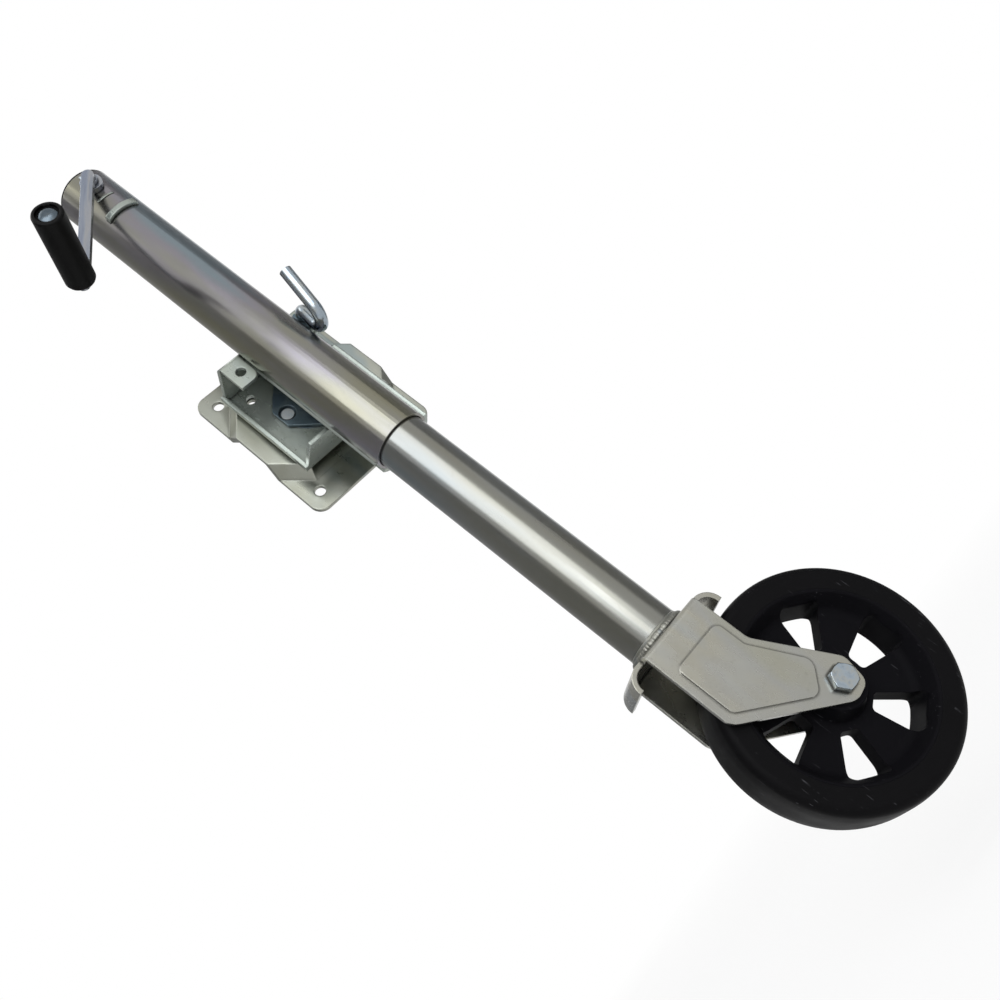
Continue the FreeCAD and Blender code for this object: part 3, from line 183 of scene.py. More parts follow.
def ranged(tree: bpy.types.NodeTree, value: bpy.types.NodeSocket, given: tuple[float, float],
           wanted: tuple[float, float]) -> bpy.types.NodeSocket:
    """Carry a value from one range to another and hold it there.

    Args:
        tree: the material's tree.
        value: the value.
        given: the two ends of its range.
        wanted: what the two ends become.

    Returns:
        The new value.
    """
    made = add_node(tree, "ShaderNodeMapRange", {
        "Value": value, "From Min": given[0], "From Max": given[1],
        "To Min": wanted[0], "To Max": wanted[1]})
    return made.outputs["Result"]


def mixed(tree: bpy.types.NodeTree, share: bpy.types.NodeSocket,
          first: bpy.types.NodeSocket | tuple[float, ...],
          second: tuple[float, ...]) -> bpy.types.NodeSocket:
    """Mix two colours.

    Args:
        tree: the material's tree.
        share: how much of the second colour shows.
        first: the first colour.
        second: the second colour.

    Returns:
        The mixed colour.
    """
    made = add_node(tree, "ShaderNodeMix", {"Factor": share, 6: first, 7: second},
                    data_type="RGBA")
    return made.outputs[2]


def rounded(tree: bpy.types.NodeTree, radius_mm: float) -> bpy.types.NodeSocket:
    """The surface's normal with its edges rounded for the eye.

    Args:
        tree: the material's tree.
        radius_mm: radius of the rounding.

    Returns:
        The normal.
    """
    made = add_node(tree, "ShaderNodeBevel", {"Radius": radius_mm * MM},
                    samples=SHADER_SAMPLES)
    return made.outputs["Normal"]


def bumped(tree: bpy.types.NodeTree, height: bpy.types.NodeSocket, depth_mm: float,
           strength: float, normal: bpy.types.NodeSocket) -> bpy.types.NodeSocket:
    """Tilt a normal by a height.

    Args:
        tree: the material's tree.
        height: the height, 0 to 1.
        depth_mm: what a height of 1 stands for.
        strength: how much of the tilt is kept.
        normal: the normal to tilt.

    Returns:
        The tilted normal.
    """
    made = add_node(tree, "ShaderNodeBump", {
        "Strength": strength, "Distance": depth_mm * MM, "Height": height, "Normal": normal})
    return made.outputs["Normal"]


@dataclass(frozen=True)
class ZincPlate:
    """Zinc electroplate over steel, bright or satin by how the steel was made.

    The eye sees a grey metal that drifts between olive, violet and blue where the passivation
    film is thicker, cloudy gloss, fine marks along the working direction, small dull spots and
    brighter cut edges; shade is painted darker into its seams and creases. The marks and the
    grain are several times coarser than real ones of about 0.1 mm, so that they still show in
    a picture of the whole jack.

    Attributes:
        name: the material's name.
        film: the film's four colours, from olive to blue.
        edge: colour of rubbed edges.
        roughness: middle of its cloudy roughness.
        drift_mm: size of the film's colour clouds.
        line_mm: width of the working marks.
        line_depth_mm: their depth.
        grain_mm: size of the plate's grain.
        grain_depth_mm: its depth.
        stretch: how much longer than wide the marks and clouds are.
        edge_radius_mm: how far from an edge it is rubbed.
        edge_share: how much of the edge's colour shows there.
        spot_share: how much the dull spots show.
        metal: 1 for bright plate, less where a matt film scatters light.
        seam_share: how dark the painted shade lies in seams and creases.
        seam_mm: how far the painted shade reaches out of a seam.
        wave_mm: size of the sheet's slow waves.
        wave_depth_mm: their depth.
        seam_open: openness at which the painted shade begins.
        seam_shut: openness at which it is full.
        lean_deg: lean of the marks from the tubes' direction.
        bend_mm: radius that edges are rounded by for the eye.
    """

    name: str
    film: tuple[str, str, str, str]
    edge: str
    roughness: float
    drift_mm: float
    line_mm: float
    line_depth_mm: float
    grain_mm: float
    grain_depth_mm: float
    stretch: float = 1.0
    edge_radius_mm: float = 0.6
    edge_share: float = 0.8
    spot_share: float = 0.25
    metal: float = 1.0
    seam_share: float = 0.6
    seam_mm: float = 2.2
    wave_mm: float = 28.0
    wave_depth_mm: float = 0.12
    seam_open: float = 0.93
    seam_shut: float = 0.62
    lean_deg: float = 0.0
    bend_mm: float = 0.5

    def material(self) -> bpy.types.Material:
        """Build the material.

        Returns:
            The finished material.
        """
        made = blank_material(self.name)
        tree = made.node_tree
        place = add_node(tree, "ShaderNodeTexCoord").outputs["Object"]
        along = add_node(tree, "ShaderNodeMapping", {
            "Vector": place, "Rotation": (0.0, math.radians(self.lean_deg), 0.0),
            "Scale": (1.0, 1.0, self.stretch)}, vector_type="TEXTURE").outputs["Vector"]
        colour = self.colour(tree, place, along)
        rough = ranged(tree, noise(tree, along, GLOSS_MM, 5.0, 0.6), CLOUD_SPAN,
                       (self.roughness - 0.05, self.roughness + 0.08))
        normal = self.relief(tree, place, along)
        shader = add_node(tree, "ShaderNodeBsdfPrincipled", {
            "Base Color": colour, "Metallic": self.metal, "Roughness": rough,
            "Normal": normal})
        add_node(tree, "ShaderNodeOutputMaterial", {"Surface": shader.outputs["BSDF"]})
        return made

    def colour(self, tree: bpy.types.NodeTree, place: bpy.types.NodeSocket,
               along: bpy.types.NodeSocket) -> bpy.types.NodeSocket:
        """Film, dull spots, rubbed edges and shade painted dark into the seams.

        Args:
            tree: the material's tree.
            place: the place on the piece.
            along: the place, stretched along the working marks.

        Returns:
            The colour.
        """
        film = add_node(tree, "ShaderNodeValToRGB", {
            "Fac": noise(tree, along, self.drift_mm, 3.0)})
        set_ramp(film, [(stop, linear(tone)) for stop, tone in zip(FILM_STOPS, self.film)])
        dull = ranged(tree, noise(tree, place, SPOT_MM, 4.0, 0.65), SPOT_SPAN,
                      (0.0, self.spot_share))
        spotted = mixed(tree, dull, film.outputs["Color"], linear(SPOT_GREY))
        flat = add_node(tree, "ShaderNodeNewGeometry").outputs["Normal"]
        facing = add_node(tree, "ShaderNodeVectorMath", {
            0: rounded(tree, self.edge_radius_mm), 1: flat}, operation="DOT_PRODUCT")
        worn = ranged(tree, facing.outputs["Value"], RUBBED_SPAN, (0.0, self.edge_share))
        edged = mixed(tree, worn, spotted, linear(self.edge))
        # Painted shade: the more closed in a point is, the more of the dark seam colour it
        # gets
        tight = add_node(tree, "ShaderNodeAmbientOcclusion", {
            "Distance": self.seam_mm * MM}, samples=SHADER_SAMPLES)
        seam = ranged(tree, tight.outputs["AO"], (self.seam_open, self.seam_shut),
                      (0.0, self.seam_share))
        return mixed(tree, seam, edged, linear(PAINTED_SEAM_SHADE))

    def relief(self, tree: bpy.types.NodeTree, place: bpy.types.NodeSocket,
               along: bpy.types.NodeSocket) -> bpy.types.NodeSocket:
        """Slow waves, working marks and grain on softly rounded edges.

        Args:
            tree: the material's tree.
            place: the place on the piece.
            along: the place, stretched along the working marks.

        Returns:
            The normal.
        """
        lines = noise(tree, along, self.line_mm, 5.0, 0.6)
        grain = noise(tree, place, self.grain_mm, 3.0, 0.6)
        waves = noise(tree, along, self.wave_mm, 1.0, 0.4)
        wavy = bumped(tree, waves, self.wave_depth_mm, 0.5, rounded(tree, self.bend_mm))
        drawn = bumped(tree, lines, self.line_depth_mm, 0.35, wavy)
        return bumped(tree, grain, self.grain_depth_mm, 0.45, drawn)


@dataclass(frozen=True)
class Moulding:
    """Injection-moulded black polymer, satin from the tool's spark-eroded skin.

    The eye sees a deep black with a low sheen, faint cloudiness, and pale hair-thin scuffs
    where the piece has touched the ground. Its grain is coarser than a real skin of about
    0.1 mm, so that it still shows in a picture of the whole jack.

    Attributes:
        name: the material's name.
        colour: the darker of its two blacks.
        bloom: the paler one, in clouds.
        roughness: middle of its cloudy roughness.
        sheen: level of its mirror-like share.
        grain_mm: size of the skin's grain.
        grain_depth_mm: its depth.
        scuff_share: how much the scuffs show.
        ior: refractive index of the polymer.
    """

    name: str
    colour: str
    bloom: str
    roughness: float
    sheen: float
    grain_mm: float
    grain_depth_mm: float
    scuff_share: float
    ior: float = 1.49

    def material(self) -> bpy.types.Material:
        """Build the material.

        Returns:
            The finished material.
        """
        made = blank_material(self.name)
        tree = made.node_tree
        place = add_node(tree, "ShaderNodeTexCoord").outputs["Object"]
        cloud = noise(tree, place, BLOOM_MM, 5.0, 0.6)
        base = mixed(tree, cloud, linear(self.colour), linear(self.bloom))
        along = add_node(tree, "ShaderNodeMapping", {
            "Vector": place, "Rotation": SCUFF_TURN, "Scale": (1.0, 1.0, SCUFF_SQUEEZE)})
        scratched = ranged(tree, noise(tree, along.outputs["Vector"], SCUFF_MM, 1.0),
                           SCUFF_SPAN, (0.0, self.scuff_share))
        there = ranged(tree, noise(tree, place, SCUFF_PATCH_MM, 2.0), SCUFF_PATCH_SPAN,
                       (0.0, 1.0))
        amount = add_node(tree, "ShaderNodeMath", {0: scratched, 1: there},
                          operation="MULTIPLY")
        colour = mixed(tree, amount.outputs["Value"], base, linear(SCUFF_GREY))
        rough = ranged(tree, cloud, CLOUD_SPAN, (self.roughness - 0.05, self.roughness + 0.07))
        normal = bumped(tree, noise(tree, place, self.grain_mm, 2.0), self.grain_depth_mm, 0.5,
                        rounded(tree, MOULD_EDGE_MM))
        shader = add_node(tree, "ShaderNodeBsdfPrincipled", {
            "Base Color": colour, "Metallic": 0.0, "IOR": self.ior,
            "Specular IOR Level": self.sheen, "Roughness": rough, "Normal": normal})
        add_node(tree, "ShaderNodeOutputMaterial", {"Surface": shader.outputs["BSDF"]})
        return made


# Drawn tube: long bright reflections over faint draw lines, olive to violet and blue
TUBE_ZINC = ZincPlate(
    name="bright_zinc_drawn_tube", film=("#82806F", "#82817A", "#838085", "#7A858B"),
    edge="#A9A9A2", roughness=0.20, drift_mm=36.0, line_mm=0.9, line_depth_mm=0.004,
    grain_mm=0.35, grain_depth_mm=0.0012, stretch=7.0, edge_radius_mm=0.3, edge_share=0.4,
    spot_share=0.35)
# Inner tube: it slides, so its film is rubbed thin and looks nearly neutral
INNER_ZINC = ZincPlate(
    name="bright_zinc_sliding_tube", film=("#7F7E74", "#82827C", "#828482", "#7C8385"),
    edge="#A9A9A2", roughness=0.20, drift_mm=30.0, line_mm=0.9, line_depth_mm=0.004,
    grain_mm=0.35, grain_depth_mm=0.0012, stretch=9.0, edge_radius_mm=0.3, edge_share=0.4)
# Pressed sheet: satin and slightly green, with a fine speckle of mill scale under it
SHEET_ZINC = ZincPlate(
    name="satin_zinc_pressed_sheet", film=("#90978F", "#979E98", "#9BA197", "#8A9391"),
    edge="#C2C8C3", roughness=0.28, drift_mm=45.0, line_mm=1.0, line_depth_mm=0.002,
    grain_mm=0.7, grain_depth_mm=0.008, stretch=2.0, edge_radius_mm=0.5, edge_share=0.42,
    spot_share=0.4, metal=0.7, seam_share=0.7, seam_mm=2.5, wave_depth_mm=0.2, bend_mm=1.6)
# Mounting plate: thicker sheet, browner, it mirrors more of what is before it
PLATE_ZINC = ZincPlate(
    name="satin_zinc_pressed_plate", film=("#8B8C80", "#93958C", "#98998F", "#89918F"),
    edge="#C4C9C2", roughness=0.31, drift_mm=45.0, line_mm=1.0, line_depth_mm=0.0015,
    grain_mm=0.7, grain_depth_mm=0.004, stretch=2.0, edge_radius_mm=0.5, edge_share=0.65,
    spot_share=0.3, seam_share=0.8, seam_mm=4.0, bend_mm=2.0)
# Fork: warm silver from another plating bath, with pale rubbed edges and shade painted dark
# into its seams
FORK_ZINC = ZincPlate(
    name="satin_zinc_pressed_fork", film=("#97968A", "#989893", "#9B998E", "#94989A"),
    edge="#D2D2CA", roughness=0.25, drift_mm=60.0, line_mm=1.0, line_depth_mm=0.002,
    grain_mm=1.6, grain_depth_mm=0.009, stretch=2.0, edge_radius_mm=0.4, edge_share=0.85,
    spot_share=0.22, metal=0.92, seam_share=0.85, wave_depth_mm=0.3, seam_open=0.97,
    seam_shut=0.78, bend_mm=1.2)
# Hub, keeper and bush: a darker slate blue beside the satin sheet
BLUE_ZINC = ZincPlate(
    name="blue_passivated_plate", film=("#56656D", "#5D6C74", "#637076", "#505F6A"),
    edge="#93A2AB", roughness=0.30, drift_mm=18.0, line_mm=0.8, line_depth_mm=0.001,
    grain_mm=0.4, grain_depth_mm=0.002, edge_radius_mm=0.5, metal=0.75)
# Ends of the pivot screws: pale and matt, nothing has rubbed them
SCREW_ZINC = ZincPlate(
    name="matt_zinc_thread_end", film=("#9FA6AA", "#A5ABAE", "#ABAEAD", "#98A1A7"),
    edge="#DDE2E5", roughness=0.34, drift_mm=6.0, line_mm=0.5, line_depth_mm=0.001,
    grain_mm=0.3, grain_depth_mm=0.0015, edge_radius_mm=0.3, metal=0.35, seam_share=0.4)
# Cold-headed screws and bent rod: the brightest pieces, small hard highlights
BOLT_ZINC = ZincPlate(
    name="bright_zinc_cold_headed", film=("#8E9AA4", "#99A3AB", "#9FA3A2", "#84919F"),
    edge="#D8DFE4", roughness=0.19, drift_mm=10.0, line_mm=0.5, line_depth_mm=0.001,
    grain_mm=0.3, grain_depth_mm=0.0015, edge_radius_mm=0.4, spot_share=0.4)
# Riveted head of the grip spindle: a blue-grey dot in the end of the grip
RIVET_ZINC = ZincPlate(
    name="turned_rivet_blue_grey", film=("#4C565E", "#535D65", "#596167", "#465059"),
    edge="#A9B6BF", roughness=0.26, drift_mm=6.0, line_mm=0.5, line_depth_mm=0.002,
    grain_mm=0.3, grain_depth_mm=0.002, edge_radius_mm=0.4, edge_share=0.7, spot_share=0.4)
# Flat bar: rolled grey with a violet cast, streaked along the arm
BAR_ZINC = ZincPlate(
    name="satin_zinc_flat_bar", film=("#7A8190", "#8A909B", "#98999C", "#737B8A"),
    edge="#C4C8CE", roughness=0.25, drift_mm=9.0, line_mm=0.7, line_depth_mm=0.003,
    grain_mm=0.4, grain_depth_mm=0.003, stretch=12.0, edge_radius_mm=0.5, lean_deg=39.3)
# Turned steel under oil: brown-grey and soft, mostly inside
BARE_STEEL = ZincPlate(
    name="oiled_turned_steel", film=("#77756F", "#7D7B76", "#83807A", "#706F6C"),
    edge="#A5A49F", roughness=0.3, drift_mm=12.0, line_mm=0.6, line_depth_mm=0.002,
    grain_mm=0.4, grain_depth_mm=0.002)
# Weld metal under zinc: greyer and duller than the tube it joins
WELD_ZINC = ZincPlate(
    name="zinc_plated_weld", film=("#85857C", "#8C8C84", "#92918A", "#7E817F"), edge="#A9A9A2",
    roughness=0.42, drift_mm=8.0, line_mm=0.6, line_depth_mm=0.003, grain_mm=0.5,
    grain_depth_mm=0.006)
# Bronze of the lead nut: a warm brown inside the leg
BRONZE = ZincPlate(
    name="machined_bronze", film=("#8E6E3C", "#987742", "#A17F4A", "#866838"), edge="#C3A36A",
    roughness=0.33, drift_mm=12.0, line_mm=0.6, line_depth_mm=0.002, grain_mm=0.4,
    grain_depth_mm=0.002)
# Polypropylene grip and cap: deep black with a soft sheen
GRIP_BLACK = Moulding(
    name="satin_black_polypropylene", colour="#050505", bloom="#0A0A0A", roughness=0.42,
    sheen=0.09, grain_mm=0.5, grain_depth_mm=0.01, scuff_share=0.1)
# Glass-filled nylon wheel: a dry, slightly violet black
WHEEL_BLACK = Moulding(
    name="glass_filled_nylon_black", colour="#0D0D0F", bloom="#121114", roughness=0.56,
    sheen=0.025, grain_mm=0.6, grain_depth_mm=0.014, scuff_share=0.25)
# Solid rubber tyre: dull black, scuffed where it rolls
TYRE_BLACK = Moulding(
    name="solid_rubber_black", colour="#060607", bloom="#0A090B", roughness=0.48, sheen=0.06,
    grain_mm=0.8, grain_depth_mm=0.02, scuff_share=0.35, ior=1.52)


class Slot(Enum):
    """The record's material slots."""

    TUBE = "zinc_tube"
    SHEET = "zinc_sheet"
    BLUE = "dark_zinc"
    BOLT = "bolt_zinc"
    ARM = "arm_steel"
    BARE = "bare_steel"
    BRONZE = "nut_bronze"
    PLASTIC = "black_plastic"
    TYRE = "tyre_rubber"


class Axis(Enum):
    """The way a coil or bead that is grown along +Z is turned."""

    UP = Matrix.Identity(4)
    FRONT = Matrix.Rotation(math.radians(90), 4, "X")


def open_tree(name: str, sizes: dict[str, tuple[str, float]]) -> tuple[
        bpy.types.NodeTree, bpy.types.Node]:
    """Start a Geometry Nodes tree.

    Args:
        name: the tree's name.
        sizes: socket type and default of each named input.

    Returns:
        The tree and its input node.
    """
    tree = bpy.data.node_groups.new(name, "GeometryNodeTree")
    tree.interface.new_socket("Geometry", in_out="OUTPUT", socket_type="NodeSocketGeometry")
    tree.interface.new_socket("Finish", in_out="INPUT", socket_type="NodeSocketMaterial")
    for label, (kind, default) in sizes.items():
        socket = tree.interface.new_socket(label, in_out="INPUT", socket_type=kind)
        socket.default_value = default
    return tree, add_node(tree, "NodeGroupInput")


def close_tree(tree: bpy.types.NodeTree, given: bpy.types.Node,
               geometry: bpy.types.NodeSocket) -> None:
    """End a tree in Realize Instances and Set Material.

    Args:
        tree: the tree.
        given: its input node.
        geometry: what it makes.
    """
    real = add_node(tree, "GeometryNodeRealizeInstances", {"Geometry": geometry})
    smooth = add_node(tree, "GeometryNodeSetShadeSmooth", {"Geometry": real.outputs[0]})
    dressed = add_node(tree, "GeometryNodeSetMaterial", {
        "Geometry": smooth.outputs[0], "Material": given.outputs["Finish"]})
    add_node(tree, "NodeGroupOutput", {"Geometry": dressed.outputs[0]})


def coil_tree() -> bpy.types.NodeTree:
    """Wire wound on a cylinder: a spring, or the crests of a screw thread."""
    tree, given = open_tree("wound_wire", {
        "Radius": ("NodeSocketFloat", 7.5 * MM), "Length": ("NodeSocketFloat", 16 * MM),
        "Turns": ("NodeSocketFloat", 5.0), "Wire": ("NodeSocketFloat", 0.8 * MM),
        "Steps": ("NodeSocketInt", 36), "Sides": ("NodeSocketInt", 10)})
    helix = add_node(tree, "GeometryNodeCurveSpiral", {
        "Resolution": given.outputs["Steps"], "Rotations": given.outputs["Turns"],
        "Start Radius": given.outputs["Radius"], "End Radius": given.outputs["Radius"],
        "Height": given.outputs["Length"]})
    wire = add_node(tree, "GeometryNodeCurvePrimitiveCircle", {
        "Resolution": given.outputs["Sides"], "Radius": given.outputs["Wire"]})
    swept = add_node(tree, "GeometryNodeCurveToMesh", {
        "Curve": helix.outputs["Curve"], "Profile Curve": wire.outputs["Curve"],
        "Fill Caps": True})
    close_tree(tree, given, swept.outputs["Mesh"])
    return tree


def bead_tree() -> bpy.types.NodeTree:
    """A weld bead round a tube: overlapping frozen ripples of slightly uneven size."""
    tree, given = open_tree("weld_ripples", {
        "Radius": ("NodeSocketFloat", 27 * MM), "Ripples": ("NodeSocketInt", 60),
        "Size": ("NodeSocketFloat", 4 * MM), "Seed": ("NodeSocketInt", 7)})
    path = add_node(tree, "GeometryNodeCurvePrimitiveCircle", {
        "Resolution": given.outputs["Ripples"], "Radius": given.outputs["Radius"]})
    points = add_node(tree, "GeometryNodeCurveToPoints", {
        "Curve": path.outputs["Curve"], "Count": given.outputs["Ripples"]}, mode="COUNT")
    drop = add_node(tree, "GeometryNodeMeshUVSphere", {
        "Segments": 12, "Rings": 8, "Radius": given.outputs["Size"]})
    uneven = add_node(tree, "FunctionNodeRandomValue", {
        2: 0.88, 3: 1.06, "Seed": given.outputs["Seed"]}, data_type="FLOAT")
    laid = add_node(tree, "GeometryNodeInstanceOnPoints", {
        "Points": points.outputs["Points"], "Instance": drop.outputs["Mesh"],
        "Scale": uneven.outputs[1]})
    close_tree(tree, given, laid.outputs["Instances"])
    return tree


@dataclass(frozen=True)
class Thread:
    """Sizes of the threaded end of a screw."""

    radius_mm: float
    pitch_mm: float
    long_mm: float


@dataclass
class Workshop:
    """Keeps one material of each finish, dresses CAD nodes and grows repeated forms."""

    made: dict[str, bpy.types.Material] = field(default_factory=dict)

    def finish(self, finish: ZincPlate | Moulding) -> bpy.types.Material:
        """The material of a finish, built once.

        Args:
            finish: the finish wanted.

        Returns:
            Its material.
        """
        if finish.name not in self.made:
            self.made[finish.name] = finish.material()
        return self.made[finish.name]

    def hang(self, piece: bpy.types.Object, body: str) -> None:
        """Give a piece its body.

        Args:
            piece: the piece.
            body: the moving body that carries it.
        """
        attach(piece, body)
        LOG.info("%s: %d faces on %s", piece.name, len(piece.data.polygons), body)

    def dress(self, node: str, finish: ZincPlate | Moulding, body: str,
              sharp_deg: float = SHARP_DEG, round_mm: float = 0.0) -> None:
        """Stand a smooth-shaded copy of a CAD node in for it.

        Args:
            node: the CAD node's name.
            finish: what the piece is finished in.
            body: the moving body that carries it.
            sharp_deg: edges sharper than this stay sharp.
            round_mm: radius that its sharp edges are rounded by.
        """
        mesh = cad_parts[node].data.copy()
        form = bmesh.new()
        form.from_mesh(mesh)
        bmesh.ops.remove_doubles(form, verts=form.verts, dist=MERGE_M)
        # Each flat face becomes one polygon, so it outweighs the bend beside it
        bmesh.ops.dissolve_limit(form, angle_limit=math.radians(FLAT_DEG), verts=form.verts,
                                 edges=form.edges)
        form.to_mesh(mesh)
        form.free()
        mesh.materials.clear()
        mesh.materials.append(self.finish(finish))
        mesh.polygons.foreach_set("use_smooth", [True] * len(mesh.polygons))
        mesh.set_sharp_from_angle(angle=math.radians(sharp_deg))
        piece = bpy.data.objects.new("piece_" + node, mesh)
        bpy.context.scene.collection.objects.link(piece)
        if round_mm:
            ease = piece.modifiers.new("rounded_edges", "BEVEL")
            ease.width = round_mm * MM
            ease.segments = ROUND_STEPS
            ease.limit_method = "ANGLE"
            ease.angle_limit = math.radians(sharp_deg)
        # Flat faces keep their own normal beside a bend
        weigh = piece.modifiers.new("flat_faces", "WEIGHTED_NORMAL")
        weigh.keep_sharp = True
        weigh.weight = 100
        ready = piece.evaluated_get(bpy.context.evaluated_depsgraph_get())
        piece.data = bpy.data.meshes.new_from_object(ready)
        piece.modifiers.clear()
        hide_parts(node)
        self.hang(piece, body)

    def grow(self, name: str, tree: bpy.types.NodeTree, finish: ZincPlate,
             sizes: dict[str, float], axis: Axis,
             places_mm: list[tuple[float, float, float]]) -> bpy.types.Object:
        """Evaluate a Geometry Nodes tree to one plain mesh at one or more places.

        Args:
            name: the new piece's name.
            tree: the tree that makes the form.
            finish: what the form is finished in.
            sizes: the tree's inputs by name.
            axis: how the form is turned.
            places_mm: where it stands.

        Returns:
            The new piece, on no body yet.
        """
        host = bpy.data.objects.new(name, bpy.data.meshes.new(name))
        bpy.context.scene.collection.objects.link(host)
        grower = host.modifiers.new("grown", "NODES")
        grower.node_group = tree
        given = dict(sizes, Finish=self.finish(finish))
        for item in tree.interface.items_tree:
            if item.item_type == "SOCKET" and item.in_out == "INPUT" and item.name in given:
                grower[item.identifier] = given[item.name]
        ready = host.evaluated_get(bpy.context.evaluated_depsgraph_get())
        grown = bpy.data.meshes.new_from_object(ready)
        host.modifiers.remove(grower)
        form = bmesh.new()
        for place in places_mm:
            copy = grown.copy()
            copy.transform(Matrix.Translation(Vector(place) * MM) @ axis.value)
            form.from_mesh(copy)
            bpy.data.meshes.remove(copy)
        form.to_mesh(grown)
        form.free()
        host.data = grown
        return host

    def thread(self, name: str, finish: ZincPlate, screw: Thread, body: str,
               places_mm: list[tuple[float, float, float]]) -> None:
        """Wind a thread's crests round the end of a screw.

        Args:
            name: the new piece's name.
            finish: what the screw is finished in.
            screw: the thread's sizes.
            body: the moving body that carries it.
            places_mm: back ends of the threads.
        """
        crests = self.grow(name, coil_tree(), finish, {
            "Radius": screw.radius_mm * MM, "Length": screw.long_mm * MM,
            "Turns": screw.long_mm / screw.pitch_mm,
            "Wire": screw.pitch_mm * CREST_SHARE * MM}, Axis.FRONT, places_mm)
        self.hang(crests, body)


@dataclass
class MountingPlate:
    """Fixed plate with its hub, keeper and screws."""

    body: str = "mount"
    screw_x_mm: float = 27.0
    screw_front_mm: float = -27.0
    thread: Thread = Thread(radius_mm=5.8, pitch_mm=0.9, long_mm=1.7)

    def build(self, shop: Workshop) -> None:
        """Dress the fixed pieces.

        Args:
            shop: makes the copies.
        """
        for node, finish, slot in (("mounting_plate", PLATE_ZINC, Slot.SHEET),
                                   ("bearing_washer", SHEET_ZINC, Slot.SHEET),
                                   ("pivot_hub", BLUE_ZINC, Slot.BLUE),
                                   ("keeper_plate", BLUE_ZINC, Slot.BLUE),
                                   ("pivot_screws", SCREW_ZINC, Slot.BOLT)):
            shop.dress(node, finish, self.body)
        back_mm = self.screw_front_mm + self.thread.long_mm
        shop.thread("pivot_screw_threads", SCREW_ZINC, self.thread, self.body,
                    [(side * self.screw_x_mm, back_mm, 0.0) for side in (-1, 1)])


@dataclass
class LockPin:
    """Spring plunger with its bent handle."""

    body: str = "lock_pin"

    def build(self, shop: Workshop) -> None:
        """Dress the plunger.

        Args:
            shop: makes the copies.
        """
        for node in ("lock_pin", "pin_collar"):
            shop.dress(node, BOLT_ZINC, self.body)


@dataclass
class Barrel:
    """Swivel bracket, saddle and the outer tube with what is fixed in it."""

    body: str = "tube"
    pin_side_mm: float = 38.5
    spring_front_mm: float = -64.15
    spring_back_mm: float = -47.1
    spring_radius_mm: float = 7.5
    spring_wire_mm: float = 0.8
    spring_turns: float = 5.0

    def build(self, shop: Workshop) -> None:
        """Dress the swinging pieces.

        Args:
            shop: makes the copies.
        """
        for node in ("swivel_bracket", "saddle", "gear_plate", "thrust_plate"):
            shop.dress(node, SHEET_ZINC, self.body)
        for node, finish, slot in (("outer_tube", TUBE_ZINC, Slot.TUBE),
                                   ("top_cap", GRIP_BLACK, Slot.PLASTIC),
                                   ("cap_rivet", BOLT_ZINC, Slot.BOLT),
                                   ("lock_bush", BLUE_ZINC, Slot.BOLT),
                                   ("thrust_bearing", BARE_STEEL, Slot.BARE),
                                   ("crank_bush_front", BAR_ZINC, Slot.ARM),
                                   ("crank_bush_rear", BAR_ZINC, Slot.ARM)):
            shop.dress(node, finish, self.body)
        self.spring(shop)

    def spring(self, shop: Workshop) -> None:
        """Wind the lock spring in its place.

        Args:
            shop: winds the wire.
        """
        spring = shop.grow("lock_spring_wire", coil_tree(), BARE_STEEL, {
            "Radius": self.spring_radius_mm * MM,
            "Length": (self.spring_back_mm - self.spring_front_mm) * MM,
            "Turns": self.spring_turns, "Wire": self.spring_wire_mm * MM}, Axis.FRONT,
            [(self.pin_side_mm, self.spring_back_mm, self.pin_side_mm)])
        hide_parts("lock_spring")
        # Its front end bears on the bracket and its back end on the pin's collar
        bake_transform(spring)
        LOG.info("%s: %d faces from %s to %s", spring.name, len(spring.data.polygons),
                 self.body, LockPin.body)


@dataclass
class Crank:
    """Crank arm, its shaft and pinion, and the turning grip."""

    body: str = "crank"

    def build(self, shop: Workshop) -> None:
        """Dress the crank.

        Args:
            shop: makes the copies.
        """
        for node in ("crank_arm", "crank_shaft"):
            shop.dress(node, BAR_ZINC, self.body)
        shop.dress("grip_spindle", RIVET_ZINC, self.body)
        shop.dress("bevel_pinion", BARE_STEEL, self.body)
        shop.dress("grip", GRIP_BLACK, "grip")


@dataclass
class Leg:
    """Inner tube, its screw drive and the fork with its axle."""

    body: str = "leg"
    tube_y_mm: float = -79.0
    weld_z_mm: float = -398.2
    weld_radius_mm: float = 25.4
    weld_size_mm: float = 3.6
    weld_ripples: int = 58
    axle_x_mm: float = 50.5
    axle_z_mm: float = -519.0
    thread_back_mm: float = -30.9
    thread: Thread = Thread(radius_mm=5.65, pitch_mm=1.5, long_mm=2.0)

    def build(self, shop: Workshop) -> None:
        """Dress the leg.

        Args:
            shop: makes the copies.
        """
        shop.dress("inner_tube", INNER_ZINC, self.body)
        shop.dress("fork", FORK_ZINC, self.body)
        shop.dress("fork_weld", WELD_ZINC, self.body)
        for node in ("axle_bolt", "axle_nut", "axle_washer"):
            shop.dress(node, BOLT_ZINC, self.body)
        shop.dress("axle_sleeve", BARE_STEEL, self.body)
        shop.dress("lead_screw", BARE_STEEL, "screw")
        shop.dress("crown_gear", BARE_STEEL, "screw")
        shop.dress("lead_nut", BRONZE, "nut")
        weld = shop.grow("fork_weld_ripples", bead_tree(), WELD_ZINC, {
            "Radius": self.weld_radius_mm * MM, "Ripples": self.weld_ripples,
            "Size": self.weld_size_mm * MM}, Axis.UP,
            [(0.0, self.tube_y_mm, self.weld_z_mm)])
        shop.hang(weld, self.body)
        shop.thread("axle_thread", BOLT_ZINC, self.thread, self.body,
                    [(self.axle_x_mm, self.thread_back_mm, self.axle_z_mm)])


